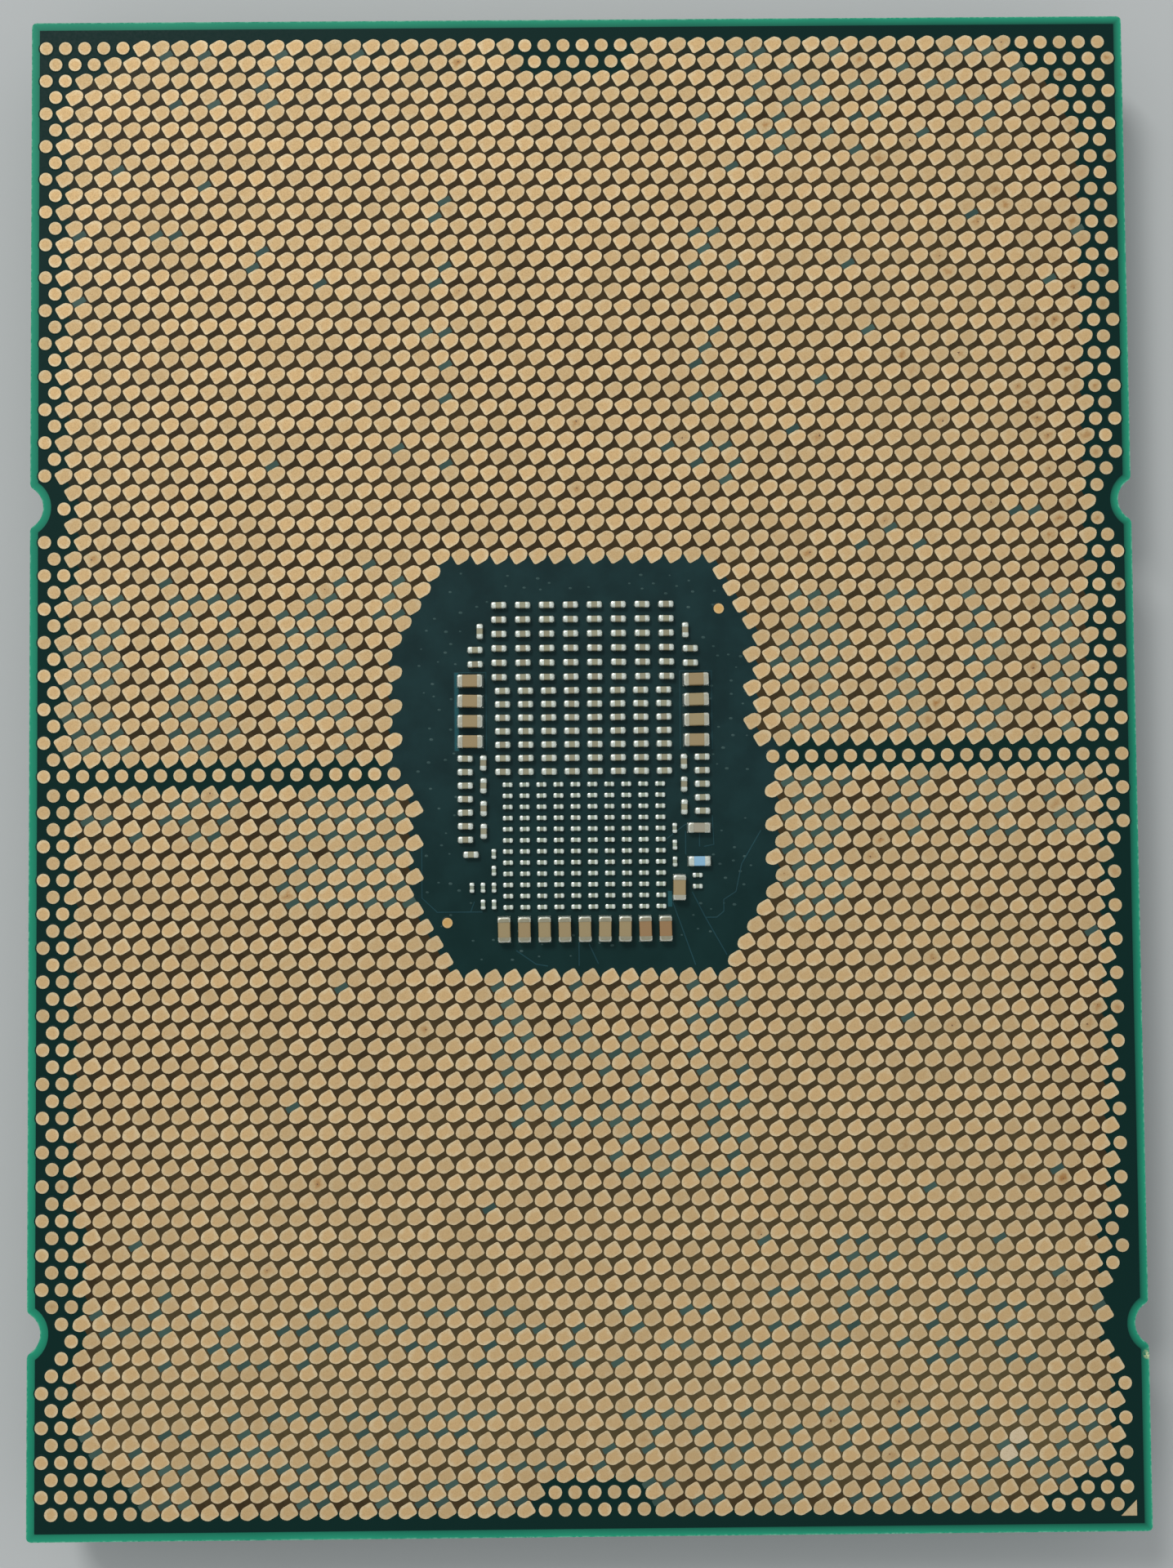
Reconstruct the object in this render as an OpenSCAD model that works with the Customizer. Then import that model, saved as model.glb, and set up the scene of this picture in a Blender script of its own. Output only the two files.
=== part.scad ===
// Server processor in a land grid package, lying on its lid with the lands up
// Millimetres. +Z points out of the land side, +Y runs along the long side, X across it
// The origin is the middle of the lid's outer face

/* [Substrate] */
// Width of the laminate, across its short side
substrate_w = 56.5; // [52:0.5:61]
// Length of the laminate
substrate_l = 77.5; // [72:0.5:83]
// Thickness of the laminate
substrate_t = 1.9; // [1.2:0.1:2.6]
// Radius of the laminate's corners
substrate_r = 0.25; // [0.1:0.05:0.8]
// Width of the rim that the copper and its mask leave bare
rim_w = 0.42; // [0.2:0.02:0.6]
// Thickness of the copper plane with its solder mask
mask_t = 0.04; // [0.02:0.01:0.08]

/* [Key notches] */
// Radius of each half-round notch
notch_r = 1.15; // [0.8:0.05:1.4]
// Depth of each notch from the edge
notch_depth = 0.67; // [0.4:0.01:0.75]
// Radius where a notch runs out into the edge
notch_flare = 0.35; // [0.1:0.05:0.6]
// Place of the upper pair, from the middle of the board
upper_notch_y = 13.45; // [11:0.05:16]
// Place of the lower pair, from the middle of the board
lower_notch_y = -28.42; // [-31:0.02:-26]
// Least distance from a land's centre to the mask's edge at a notch
notch_margin = 0.43; // [0.4:0.01:0.8]

/* [Land fields] */
// Distance between neighbouring lands on the hexagonal lattice
land_pitch = 0.9906; // [0.9:0.0001:1.1]
// Width of a contact land
land_d = 0.765; // [0.5:0.005:0.8]
// Diameter of a round land at the rim or in the divider row
round_land_d = 0.68; // [0.4:0.01:0.8]
// Height of the plated lands above the mask
land_t = 0.03; // [0.02:0.005:0.06]
// Least distance from a land's centre to the mask's long edges
land_side_margin = 0.32; // [0.3:0.01:0.8]
// Least distance from a land's centre to the mask's short edges
land_end_margin = 0.93; // [0.5:0.01:1.4]
// Extra space between the upper and the lower field
field_gap = 0.12; // [0:0.01:0.4]
// Length of the bare stretch of edge beside the lower right notch
key_clear_l = 3.9; // [3:0.1:6]
// Width of the bare stretch of edge beside the lower right notch
key_clear_w = 2.05; // [1.6:0.05:2.2]
// Width of the bare strip along the lower right edge
bare_strip_w = 1; // [0.5:0.05:1.2]
// How far below the middle of the board the bare strip starts
bare_strip_start = 4.3; // [3:0.1:8]

/* [Round lands] */
// Depth of the border of round lands on a field's wide side
wide_border = 1.2; // [1.05:0.05:1.4]
// Depth of the border of round lands on a field's narrow side
narrow_border = 0.8; // [0.55:0.05:0.95]
// Length of the corner triangle of round lands on the wide side
wide_corner = 4.8; // [4.5:0.1:6]
// Rise over run of that triangle's long side
wide_corner_slope = 1.15; // [1:0.05:1.4]
// Length of the corner triangle of round lands on the narrow side
narrow_corner = 4.5; // [4:0.1:6]
// Rise over run of that triangle's long side
narrow_corner_slope = 0.6; // [0.5:0.05:0.8]
// Half the width of the patch of round lands in the middle of each short side
end_patch = 2.7; // [1.5:0.1:4]
// Number of lattice rows that the patch reaches over
end_patch_rows = 1.4; // [0.5:0.1:2.5]

/* [Component window] */
// Width of the window in the land fields
window_w = 17.9; // [16.4:0.1:20]
// Length of the window
window_l = 20.7; // [20:0.1:24]
// Width of the window at its two short ends
window_end_w = 13.4; // [12.6:0.1:15]
// Diameter of the two alignment dots
fiducial_d = 0.53; // [0.3:0.01:0.8]
// Place of the alignment dots across the board
fiducial_x = 6.985; // [6.8:0.005:7.1]
// Place of the alignment dots along the board
fiducial_y = 7.97; // [7.6:0.01:8.1]
// Length of the legs of the pin-one triangle
pin_one_leg = 0.78; // [0.4:0.02:0.9]
// Distance of the pin-one triangle from the laminate's edges
pin_one_margin = 0.8; // [0.5:0.02:0.9]
// Length of the legs of the pin-one triangle on the lid side
lid_pin_one_leg = 1.6; // [1:0.1:2]
// Distance of the pin-one triangle on the lid side from the laminate's edges
lid_pin_one_margin = 0.36; // [0.2:0.02:0.6]

/* [Chip components] */
// Length of a large chip over its soldered ends
large_l = 1.36; // [1:0.01:1.45]
// Width of a large chip
large_w = 0.66; // [0.4:0.01:0.75]
// Height of a large chip
large_h = 0.55; // [0.4:0.01:0.8]
// Length of each soldered end of a large chip
large_end = 0.3; // [0.15:0.01:0.35]
// Length of a medium chip over its soldered ends
medium_l = 0.84; // [0.7:0.01:0.95]
// Width of a medium chip
medium_w = 0.35; // [0.25:0.01:0.45]
// Height of a medium chip
medium_h = 0.33; // [0.2:0.01:0.5]
// Length of each soldered end of a medium chip
medium_end = 0.27; // [0.12:0.01:0.3]
// Length of a small chip over its soldered ends
small_l = 0.55; // [0.45:0.01:0.65]
// Width of a small chip
small_w = 0.25; // [0.18:0.01:0.32]
// Height of a small chip
small_h = 0.22; // [0.15:0.01:0.35]
// Length of each soldered end of a small chip
small_end = 0.18; // [0.1:0.01:0.2]
// Length of the two flat single chips
flat_l = 1.22; // [1:0.01:1.3]
// Width of the two flat single chips
flat_w = 0.53; // [0.4:0.01:0.56]
// Height of the two flat single chips
flat_h = 0.4; // [0.3:0.01:0.6]
// Length of each soldered end of a flat single chip
flat_end = 0.33; // [0.15:0.01:0.36]
// How far the plated ends stand proud of the ceramic
plating = 0.02; // [0.01:0.005:0.04]

/* [Chip blocks] */
// Place of the upper block's first row
upper_first_y = 8.2; // [7.8:0.05:8.6]
// Spacing of the upper block across the board
upper_step_x = 1.22; // [0.95:0.01:1.3]
// Spacing of the upper block along the board
upper_step_y = 0.738; // [0.55:0.002:0.8]
// Step from the upper block's last row to the middle block's first
middle_drop = 0.7; // [0.55:0.01:0.8]
// Spacing of the middle block across the board
middle_step_x = 1.174; // [0.95:0.002:1.3]
// Spacing of the middle block along the board
middle_step_y = 0.688; // [0.5:0.002:0.75]
// Step from the middle block's last row to the lower block's first
lower_drop = 0.66; // [0.5:0.01:0.8]
// Spacing of the lower block across the board
lower_step_x = 0.863; // [0.65:0.001:0.95]
// Spacing of the lower block along the board
lower_step_y = 0.566; // [0.4:0.002:0.6]
// Clear gap between the lower block and the end bank
end_bank_gap = 0.32; // [0.2:0.01:0.6]
// Spacing in the end bank
end_bank_step = 1.022; // [0.8:0.002:1.2]
// Clear gap between the middle block and the side banks
side_bank_gap = 0.55; // [0.3:0.01:0.8]
// Spacing in the side banks
side_bank_step = 1.03; // [0.8:0.01:1.2]
// How far the side banks' middle lies above the middle block's
side_bank_rise = 1.03; // [0.9:0.01:1.2]

/* [Flank chips] */
// Clear gap between the upper block and the chips at its shoulders
shoulder_gap = 0.38; // [0.2:0.01:0.6]
// How far the flat shoulder chips lie below the upper block's rows
shoulder_drop = 0.07; // [0:0.01:0.1]
// How far the upright shoulder chips lie above the upper block's third row
shoulder_rise = 0.14; // [0.1:0.01:0.3]
// Clear gap between the middle block and the upright chips beside it
upright_gap = 0.4; // [0.2:0.01:0.5]
// Spacing of the upright chips
upright_step = 1.158; // [1:0.002:1.3]
// Clear gap between the upright chips and the outer columns
outer_gap = 0.33; // [0.2:0.01:0.5]
// Clear gap between the lower block and the small upright chips beside it
scatter_gap = 0.32; // [0.2:0.01:0.4]
// Spacing of the small upright chips along the board
scatter_step_y = 0.853; // [0.7:0.001:1]
// Spacing of the small upright chips across the board
scatter_step_x = 0.56; // [0.4:0.01:0.7]

/* [Heat spreader] */
// Height of the lid from its outer face to its seat
lid_h = 3.15; // [2.6:0.05:4]
// Thickness of the lid's flange
flange_t = 1.5; // [1.2:0.05:2]
// Distance from the long edges of the laminate to the flange
lid_side_margin = 2.6; // [1.5:0.1:4]
// Distance from the short edges of the laminate to the flange
lid_end_margin = 5.2; // [3:0.1:7]
// Width of the step from flange to raised face on the long sides
step_side = 3.6; // [2:0.1:5]
// Width of the step from flange to raised face on the short sides
step_end = 4.2; // [2:0.1:6]
// Corner radius of the flange
flange_r = 2.2; // [1:0.1:4]
// Corner radius of the raised face
plateau_r = 3; // [1.5:0.1:5]
// Chamfer round the lid's outer edges
lid_chamfer = 0.3; // [0.1:0.05:0.6]
// Width of the sealed seat round the lid's pocket
seat_w = 4.6; // [3:0.1:6]
// Corner radius of the pocket
pocket_r = 2; // [0.5:0.1:4]
// Thickness of the sealant bead
sealant_t = 0.15; // [0.05:0.01:0.3]
// Width of the sealant bead
sealant_w = 2.6; // [1.5:0.1:2.9]
// Gap left in the bead on each short side, to vent the pocket
vent_w = 5; // [2:0.5:10]

/* [Die] */
// Width of the silicon die
die_w = 22.2; // [14:0.1:26]
// Length of the silicon die
die_l = 28.9; // [18:0.1:36]
// Thickness of the silicon die
die_t = 0.775; // [0.6:0.005:0.9]
// Height of the solder bumps between die and laminate
bump_h = 0.07; // [0.04:0.01:0.12]
// Thickness of the solder between die and lid
interface_t = 0.35; // [0.2:0.01:0.5]
// How far the underfill climbs the die's sides
underfill_rise = 0.5; // [0.2:0.05:0.6]
// How far the underfill reaches out past the die
underfill_reach = 0.6; // [0.6:0.05:1.5]
// Number of capacitors along each long side of the die
inner_chips = 14; // [4:1:18]
// Spacing of the capacitors beside the die
inner_chip_step = 1.9; // [1.5:0.1:2]
// Distance from the die's edge to the line of capacitors
inner_chip_gap = 2.4; // [2:0.1:3.5]

/* [Hidden] */
$fn = 48;
EPS = 0.01;
UPPER = 0;
LOWER = 1;
LEFT = 0;
RIGHT = 1;
OUTER = 0;
INNER = 1;

// Heights, from the lid's outer face up
seat_z = lid_h + sealant_t;
board_z = seat_z + substrate_t;
mask_z = board_z + mask_t;
die_z = seat_z - bump_h - die_t;
pocket_z = die_z - interface_t;

// Outlines
mask_w = substrate_w - 2 * rim_w;
mask_l = substrate_l - 2 * rim_w;
flange_w = substrate_w - 2 * lid_side_margin;
flange_l = substrate_l - 2 * lid_end_margin;
plateau_w = flange_w - 2 * step_side;
plateau_l = flange_l - 2 * step_end;
notch_x = substrate_w / 2 + notch_r - notch_depth;
notch_clear = notch_r + rim_w + notch_margin;

// Land lattice: rows count from the top of the board, columns from its left
row_pitch = land_pitch * sin(60);
land_rows = 2 * floor(((mask_l - 2 * land_end_margin - field_gap) / row_pitch + 1) / 2);
land_columns = 2 * floor(((mask_w - 2 * land_side_margin) / land_pitch + 0.5) / 2);
first_row_y = ((land_rows - 1) * row_pitch + field_gap) / 2;
first_land_x = (land_columns - 1) * land_pitch / 2 + land_pitch / 4;
left_divider = land_rows / 2;
right_divider = land_rows / 2 - 1;
// Rows of the single round lands beside the border, counted from the middle of the board
round_beside_left = [-16, -14, -12, 1, 27, 29, 31, 33];
round_beside_right = [-2, 27, 29];

// Chip sizes as [length, width, height, soldered end]
LARGE = [large_l, large_w, large_h, large_end];
MEDIUM = [medium_l, medium_w, medium_h, medium_end];
SMALL = [small_l, small_w, small_h, small_end];
FLAT = [flat_l, flat_w, flat_h, flat_end];
// Share of an end's length that its solder fillet takes, and how high the fillet's foot stands
fillet_share = 0.3;
fillet_foot = 0.5;

function is_left(c) = c < land_columns / 2;
function is_lower(r, c) = r > (is_left(c) ? left_divider : right_divider - 1);
function land_x(r, c) = (c - (land_columns - 1) / 2 + (r % 2 == 0 ? -1 : 1) / 4) * land_pitch;
function land_y(r, c) = first_row_y - r * row_pitch - (is_lower(r, c) ? field_gap : 0);

// The window's sides stand half a pitch to the left in the upper field, and to the right in the lower one
function window_half(y) =
    min(window_w / 2, window_end_w / 2 + (window_l / 2 - abs(y)) * tan(30));
function in_window(x, y, lower) =
    abs(y) < window_l / 2 && abs(x - (lower ? 1 : -1) * land_pitch / 2) < window_half(y);
function near_notch(x, y) =
    min([for (ny = [upper_notch_y, lower_notch_y]) norm([abs(x) - notch_x, y - ny])]) < notch_clear;
function in_bare_strip(x, y) =
    (x > substrate_w / 2 - bare_strip_w && y < -bare_strip_start)
    || (x > substrate_w / 2 - key_clear_w && abs(y - lower_notch_y - row_pitch / 2) < key_clear_l / 2);
function has_land(r, c) =
    let (x = land_x(r, c), y = land_y(r, c))
    !in_window(x, y, is_lower(r, c)) && !near_notch(x, y) && !in_bare_strip(x, y);

// The lower field is the upper one turned half round, so one rule finds the round lands of both
function in_border(u, v) =
    u > first_land_x - wide_border
    || -u > first_land_x - narrow_border
    || (u - first_land_x + wide_corner) * wide_corner_slope > first_row_y - v
    || (-u - first_land_x + narrow_corner) * narrow_corner_slope > first_row_y - v
    || (first_row_y - v < end_patch_rows * row_pitch
        && abs(u + land_pitch / 4) < end_patch - (first_row_y - v) * tan(30));
function is_single_round(r, c) =
    (c == 1 && search(r - land_rows / 2, round_beside_left) != [])
    || (c == land_columns - 2 && search(r - land_rows / 2, round_beside_right) != []);
function is_divider(r, c) = r == (is_left(c) ? left_divider : right_divider);
function is_rim(r, c) =
    let (s = is_lower(r, c) ? -1 : 1)
    !is_divider(r, c) && (in_border(s * land_x(r, c), s * land_y(r, c)) || is_single_round(r, c));
function is_inner(r) = r >= land_rows / 4 && r < 3 * land_rows / 4;

// Centres of the lands, as [x, y]
function lands_where(rule) = [
    for (r = [0 : land_rows - 1], c = [0 : land_columns - 1])
        if (has_land(r, c) && rule(r, c)) [land_x(r, c), land_y(r, c)]
];
function contact_lands(field, side, band) = lands_where(function (r, c)
    (is_lower(r, c) ? LOWER : UPPER) == field && (is_left(c) ? LEFT : RIGHT) == side
    && (is_inner(r) ? INNER : OUTER) == band && !is_divider(r, c) && !is_rim(r, c));

// Places of chips, as [x, y, turn]: a block down from its first row, and a column down from its first chip
function block(columns, rows, step_x, step_y, y) = [
    for (r = [0 : rows - 1], c = [0 : columns - 1]) [(c - (columns - 1) / 2) * step_x, y - r * step_y, 0]
];
function column(x, y, step, count, turn) = [for (k = [0 : count - 1]) [x, y - k * step, turn]];
function block_edge(columns, step_x, size) = (columns - 1) / 2 * step_x + size.x / 2;

UPPER_COLUMNS = 8;
UPPER_ROWS = 6;
MIDDLE_COLUMNS = 8;
MIDDLE_ROWS = 7;
LOWER_COLUMNS = 10;
LOWER_ROWS = 12;
SIDE_BANK = 4;
END_BANK = 9;

function upper_y(row) = upper_first_y - row * upper_step_y;
middle_first_y = upper_y(UPPER_ROWS - 1) - middle_drop;
function middle_y(row) = middle_first_y - row * middle_step_y;
lower_first_y = middle_y(MIDDLE_ROWS - 1) - lower_drop;
function lower_y(row) = lower_first_y - row * lower_step_y;

upper_edge = block_edge(UPPER_COLUMNS, upper_step_x, MEDIUM);
middle_edge = block_edge(MIDDLE_COLUMNS, middle_step_x, MEDIUM);
lower_edge = block_edge(LOWER_COLUMNS, lower_step_x, SMALL);
side_bank_x = middle_edge + side_bank_gap + large_l / 2;
side_bank_y = middle_y((MIDDLE_ROWS - 1) / 2) + side_bank_rise;
end_bank_y = lower_y(LOWER_ROWS - 1) - small_w / 2 - end_bank_gap - large_l / 2;
upright_x = middle_edge + upright_gap + medium_w / 2;
outer_x = upright_x + medium_w / 2 + outer_gap + medium_l / 2;
scatter_x = lower_edge + scatter_gap + small_w / 2;

upper_block = block(UPPER_COLUMNS, UPPER_ROWS, upper_step_x, upper_step_y, upper_first_y);
middle_block = block(MIDDLE_COLUMNS, MIDDLE_ROWS, middle_step_x, middle_step_y, middle_first_y);
lower_block = block(LOWER_COLUMNS, LOWER_ROWS, lower_step_x, lower_step_y, lower_first_y);
side_bank = [
    for (s = [-1, 1], k = [0 : SIDE_BANK - 1])
        [s * side_bank_x, side_bank_y + (k - (SIDE_BANK - 1) / 2) * side_bank_step, 0]
];
end_bank = [for (k = [0 : END_BANK - 1]) [(k - (END_BANK - 1) / 2) * end_bank_step, end_bank_y, 90]];
shoulders = [
    for (s = [-1, 1]) each [
        [s * (upper_edge + shoulder_gap + medium_w / 2), upper_y(2) + shoulder_rise, 90],
        [s * (upper_edge + shoulder_gap + medium_l / 2), upper_y(3) - shoulder_drop, 0],
        [s * (upper_edge + shoulder_gap + medium_l / 2), upper_y(4) - shoulder_drop, 0]
    ]
];
upright_first_y = middle_y(5) - middle_step_y / 3;
flanks = concat(
    shoulders,
    column(-upright_x, upright_first_y, upright_step, 4, 90),
    column(upright_x, upright_first_y, upright_step, 3, 90),
    column(-outer_x, middle_y(5), middle_step_y, 7, 0),
    column(outer_x, middle_y(5), middle_step_y, 5, 0),
    [[medium_end - outer_x, lower_y(6) - lower_step_y / 4, 0]]
);
left_scatter_y = lower_y(6) - lower_step_y / 5;
scatter = concat(
    column(-scatter_x, left_scatter_y, scatter_step_y, 4, 90),
    column(-scatter_x - scatter_step_x, left_scatter_y - 2 * scatter_step_y, scatter_step_y, 2, 90),
    column(-scatter_x - 2 * scatter_step_x, left_scatter_y - 2 * scatter_step_y, scatter_step_y, 1, 90),
    column(scatter_x, lower_y(4), scatter_step_y, 3, 90),
    column(outer_x - medium_l + small_l, lower_y(8) - lower_step_y / 4, lower_step_y, 2, 0)
);
flat_x = outer_x + medium_l / 2 - flat_l / 2;
single_flat = [[flat_x, lower_y(4), 0]];
single_large = [[lower_edge + scatter_gap + large_w / 2, lower_y(9) - lower_step_y / 3, 90]];
blue_place = [[flat_x, lower_y(7), 0]];
inner_row = [
    for (s = [-1, 1], k = [0 : inner_chips - 1])
        [s * (die_w / 2 + inner_chip_gap), (k - (inner_chips - 1) / 2) * inner_chip_step, 0]
];

// Flat shapes

module rounded_rect(w, l, r) {
    square([w - 2 * r, l], center = true);
    square([w, l - 2 * r], center = true);
    for (sx = [-1, 1], sy = [-1, 1])
        translate([sx * (w / 2 - r), sy * (l / 2 - r)]) circle(r);
}

// One notch in the right-hand edge, with its mouth run out into the edge by two tangent arcs
module notch_outline() {
    centre_out = notch_r - notch_depth;
    mouth = sqrt(pow(notch_r + notch_flare, 2) - pow(centre_out + notch_flare, 2));
    touch = (centre_out + notch_flare) * notch_r / (notch_r + notch_flare) - centre_out;
    translate([centre_out, 0]) circle(notch_r);
    difference() {
        translate([-touch, -mouth]) square([touch + notch_r, 2 * mouth]);
        for (s = [-1, 1]) translate([-notch_flare, s * mouth]) circle(notch_flare);
    }
}

module at_notches(edge_x) {
    for (turn = [0, 180], y = [upper_notch_y, lower_notch_y])
        translate([0, y]) rotate(turn) translate([edge_x, 0]) children();
}

// Plate that rises from Z = 0, with round corners and a chamfer round its upper edge
module chamfered_plate(w, l, h, r, chamfer) {
    section = function (half) [
        [-half, 0], [half, 0], [half, h - chamfer],
        [half - chamfer, h], [chamfer - half, h], [-half, h - chamfer]
    ];
    for (sx = [-1, 1], sy = [-1, 1])
        translate([sx * (w / 2 - r), sy * (l / 2 - r), 0])
            rotate_extrude() polygon([[0, 0], [r, 0], [r, h - chamfer], [r - chamfer, h], [0, h]]);
    rotate([90, 0, 0]) linear_extrude(l - 2 * r, center = true) polygon(section(w / 2));
    rotate([90, 0, 90]) linear_extrude(w - 2 * r, center = true) polygon(section(l / 2));
}

// Turns what rises from Z = 0 over, to hang down from the height z
module hang_from(z) {
    translate([0, 0, z]) mirror([0, 0, 1]) children();
}

module place_chips(places) {
    for (p = places) translate([p.x, p.y, 0]) rotate(p.z) children();
}

// Ceramic of a chip, held clear of the board between its plated ends
module chip_body(size) {
    translate([-size.x / 2 + size[3], -size.y / 2 + plating, plating])
        cube([size.x - 2 * size[3], size.y - 2 * plating, size.z - 2 * plating]);
}

// The two plated ends of a chip, each running down into its solder fillet
module chip_ends(size) {
    end = size[3];
    crest = end * (1 - fillet_share);
    for (turn = [0, 180])
        rotate([90, 0, turn]) translate([size.x / 2 - end, 0, -size.y / 2]) linear_extrude(size.y)
            polygon([[0, 0], [end, 0], [end, size.z * fillet_foot], [crest, size.z], [0, size.z]]);
}

module round_plates(places, d) {
    for (p = places) translate([p.x, p.y, mask_z]) cylinder(h = land_t, d = d);
}

// Sub-parts

module substrate() {
    color("#2f8f72") translate([0, 0, seat_z]) linear_extrude(substrate_t) difference() {
        rounded_rect(substrate_w, substrate_l, substrate_r);
        at_notches(substrate_w / 2) notch_outline();
    }
}

module land_side_mask() {
    color("#0f373a") translate([0, 0, board_z]) linear_extrude(mask_t) difference() {
        square([mask_w, mask_l], center = true);
        at_notches(notch_x) circle(notch_r + rim_w);
    }
}

module heat_spreader() {
    color("#b9bbb8") difference() {
        union() {
            hang_from(lid_h) chamfered_plate(flange_w, flange_l, flange_t, flange_r, lid_chamfer);
            hang_from(lid_h) chamfered_plate(plateau_w, plateau_l, lid_h, plateau_r, lid_chamfer);
        }
        translate([0, 0, pocket_z]) linear_extrude(lid_h - pocket_z + EPS)
            rounded_rect(flange_w - 2 * seat_w, flange_l - 2 * seat_w, pocket_r);
    }
}

module lid_sealant() {
    inset = (seat_w - sealant_w) / 2;
    color("#26262a") translate([0, 0, lid_h]) linear_extrude(sealant_t) difference() {
        rounded_rect(flange_w - 2 * inset, flange_l - 2 * inset, flange_r);
        rounded_rect(flange_w - 2 * inset - 2 * sealant_w, flange_l - 2 * inset - 2 * sealant_w, pocket_r);
        square([vent_w, flange_l], center = true);
    }
}

module silicon_die() {
    color("#5d6672") translate([-die_w / 2, -die_l / 2, die_z]) cube([die_w, die_l, die_t]);
}

module die_solder() {
    color("#c9ccd0") translate([-die_w / 2, -die_l / 2, pocket_z]) cube([die_w, die_l, interface_t]);
}

module underfill() {
    reach = underfill_reach + underfill_rise;
    w = die_w + 2 * reach;
    l = die_l + 2 * reach;
    color("#3a3f45") difference() {
        hang_from(seat_z) chamfered_plate(w, l, bump_h + underfill_rise, reach, underfill_rise);
        translate([-die_w / 2, -die_l / 2, die_z]) cube([die_w, die_l, die_t]);
    }
}

module inner_capacitor_bodies() {
    color("#a58d72") hang_from(seat_z) place_chips(inner_row) chip_body(LARGE);
}

module inner_capacitor_ends() {
    color("#d8d8d4") hang_from(seat_z) place_chips(inner_row) chip_ends(LARGE);
}

module land_group(field, side, band) {
    color("#cdaf7d") round_plates(contact_lands(field, side, band), land_d);
}

module rim_lands() {
    color("#d2b482") round_plates(lands_where(function (r, c) is_rim(r, c)), round_land_d);
}

module divider_lands() {
    color("#d2b482") round_plates(lands_where(function (r, c) is_divider(r, c)), round_land_d);
}

// Gold triangles in the pin-one corner, on the land side and on the lid side
module pin_one_marks() {
    color("#d2b482") {
        pin_one_mark(pin_one_leg, pin_one_margin, mask_z);
        pin_one_mark(lid_pin_one_leg, lid_pin_one_margin, seat_z - land_t);
    }
}

// A plated triangle whose legs run along the two edges of the pin-one corner
module pin_one_mark(leg, margin, z) {
    translate([substrate_w / 2 - margin, margin - substrate_l / 2, z]) linear_extrude(land_t)
        polygon([[0, 0], [0, leg], [-leg, 0]]);
}

module fiducials() {
    color("#d2b482") round_plates([for (s = [-1, 1]) [s * fiducial_x, s * fiducial_y]], fiducial_d);
}

module chip_bodies(places, size) {
    color("#b09a7c") translate([0, 0, mask_z]) place_chips(places) chip_body(size);
}

module chip_end_pairs(places, size) {
    color("#dcdcd6") translate([0, 0, mask_z]) place_chips(places) chip_ends(size);
}

module single_bodies() {
    chip_bodies(single_flat, FLAT);
    chip_bodies(single_large, LARGE);
}

module single_ends() {
    chip_end_pairs(single_flat, FLAT);
    chip_end_pairs(single_large, LARGE);
}

module blue_chip_body() {
    color("#8fb6d8") translate([0, 0, mask_z]) place_chips(blue_place) chip_body(FLAT);
}

substrate();
land_side_mask();
heat_spreader();
lid_sealant();
silicon_die();
die_solder();
underfill();
inner_capacitor_bodies();
inner_capacitor_ends();
land_group(UPPER, LEFT, OUTER);  // upper_left_outer_lands
land_group(UPPER, LEFT, INNER);  // upper_left_inner_lands
land_group(UPPER, RIGHT, OUTER);  // upper_right_outer_lands
land_group(UPPER, RIGHT, INNER);  // upper_right_inner_lands
land_group(LOWER, LEFT, OUTER);  // lower_left_outer_lands
land_group(LOWER, LEFT, INNER);  // lower_left_inner_lands
land_group(LOWER, RIGHT, OUTER);  // lower_right_outer_lands
land_group(LOWER, RIGHT, INNER);  // lower_right_inner_lands
rim_lands();
divider_lands();
pin_one_marks();
fiducials();
chip_bodies(upper_block, MEDIUM);  // upper_block_bodies
chip_end_pairs(upper_block, MEDIUM);  // upper_block_ends
chip_bodies(middle_block, MEDIUM);  // middle_block_bodies
chip_end_pairs(middle_block, MEDIUM);  // middle_block_ends
chip_bodies(lower_block, SMALL);  // lower_block_bodies
chip_end_pairs(lower_block, SMALL);  // lower_block_ends
chip_bodies(side_bank, LARGE);  // side_bank_bodies
chip_end_pairs(side_bank, LARGE);  // side_bank_ends
chip_bodies(end_bank, LARGE);  // end_bank_bodies
chip_end_pairs(end_bank, LARGE);  // end_bank_ends
chip_bodies(flanks, MEDIUM);  // flank_bodies
chip_end_pairs(flanks, MEDIUM);  // flank_ends
chip_bodies(scatter, SMALL);  // scatter_bodies
chip_end_pairs(scatter, SMALL);  // scatter_ends
single_bodies();
single_ends();
blue_chip_body();
chip_end_pairs(blue_place, FLAT);  // blue_chip_ends
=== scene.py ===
"""Looks of a server processor that lies on its lid with its gold contact lands up.

The frame gives every place: each land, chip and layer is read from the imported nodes, and the finer
forms (bullet-shaped lands, rounded solder ends, mask openings, traces) are set on those places.
"""

import functools
import logging
import math
from collections.abc import Sequence
from dataclasses import dataclass
from enum import Enum
from typing import Any

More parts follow.
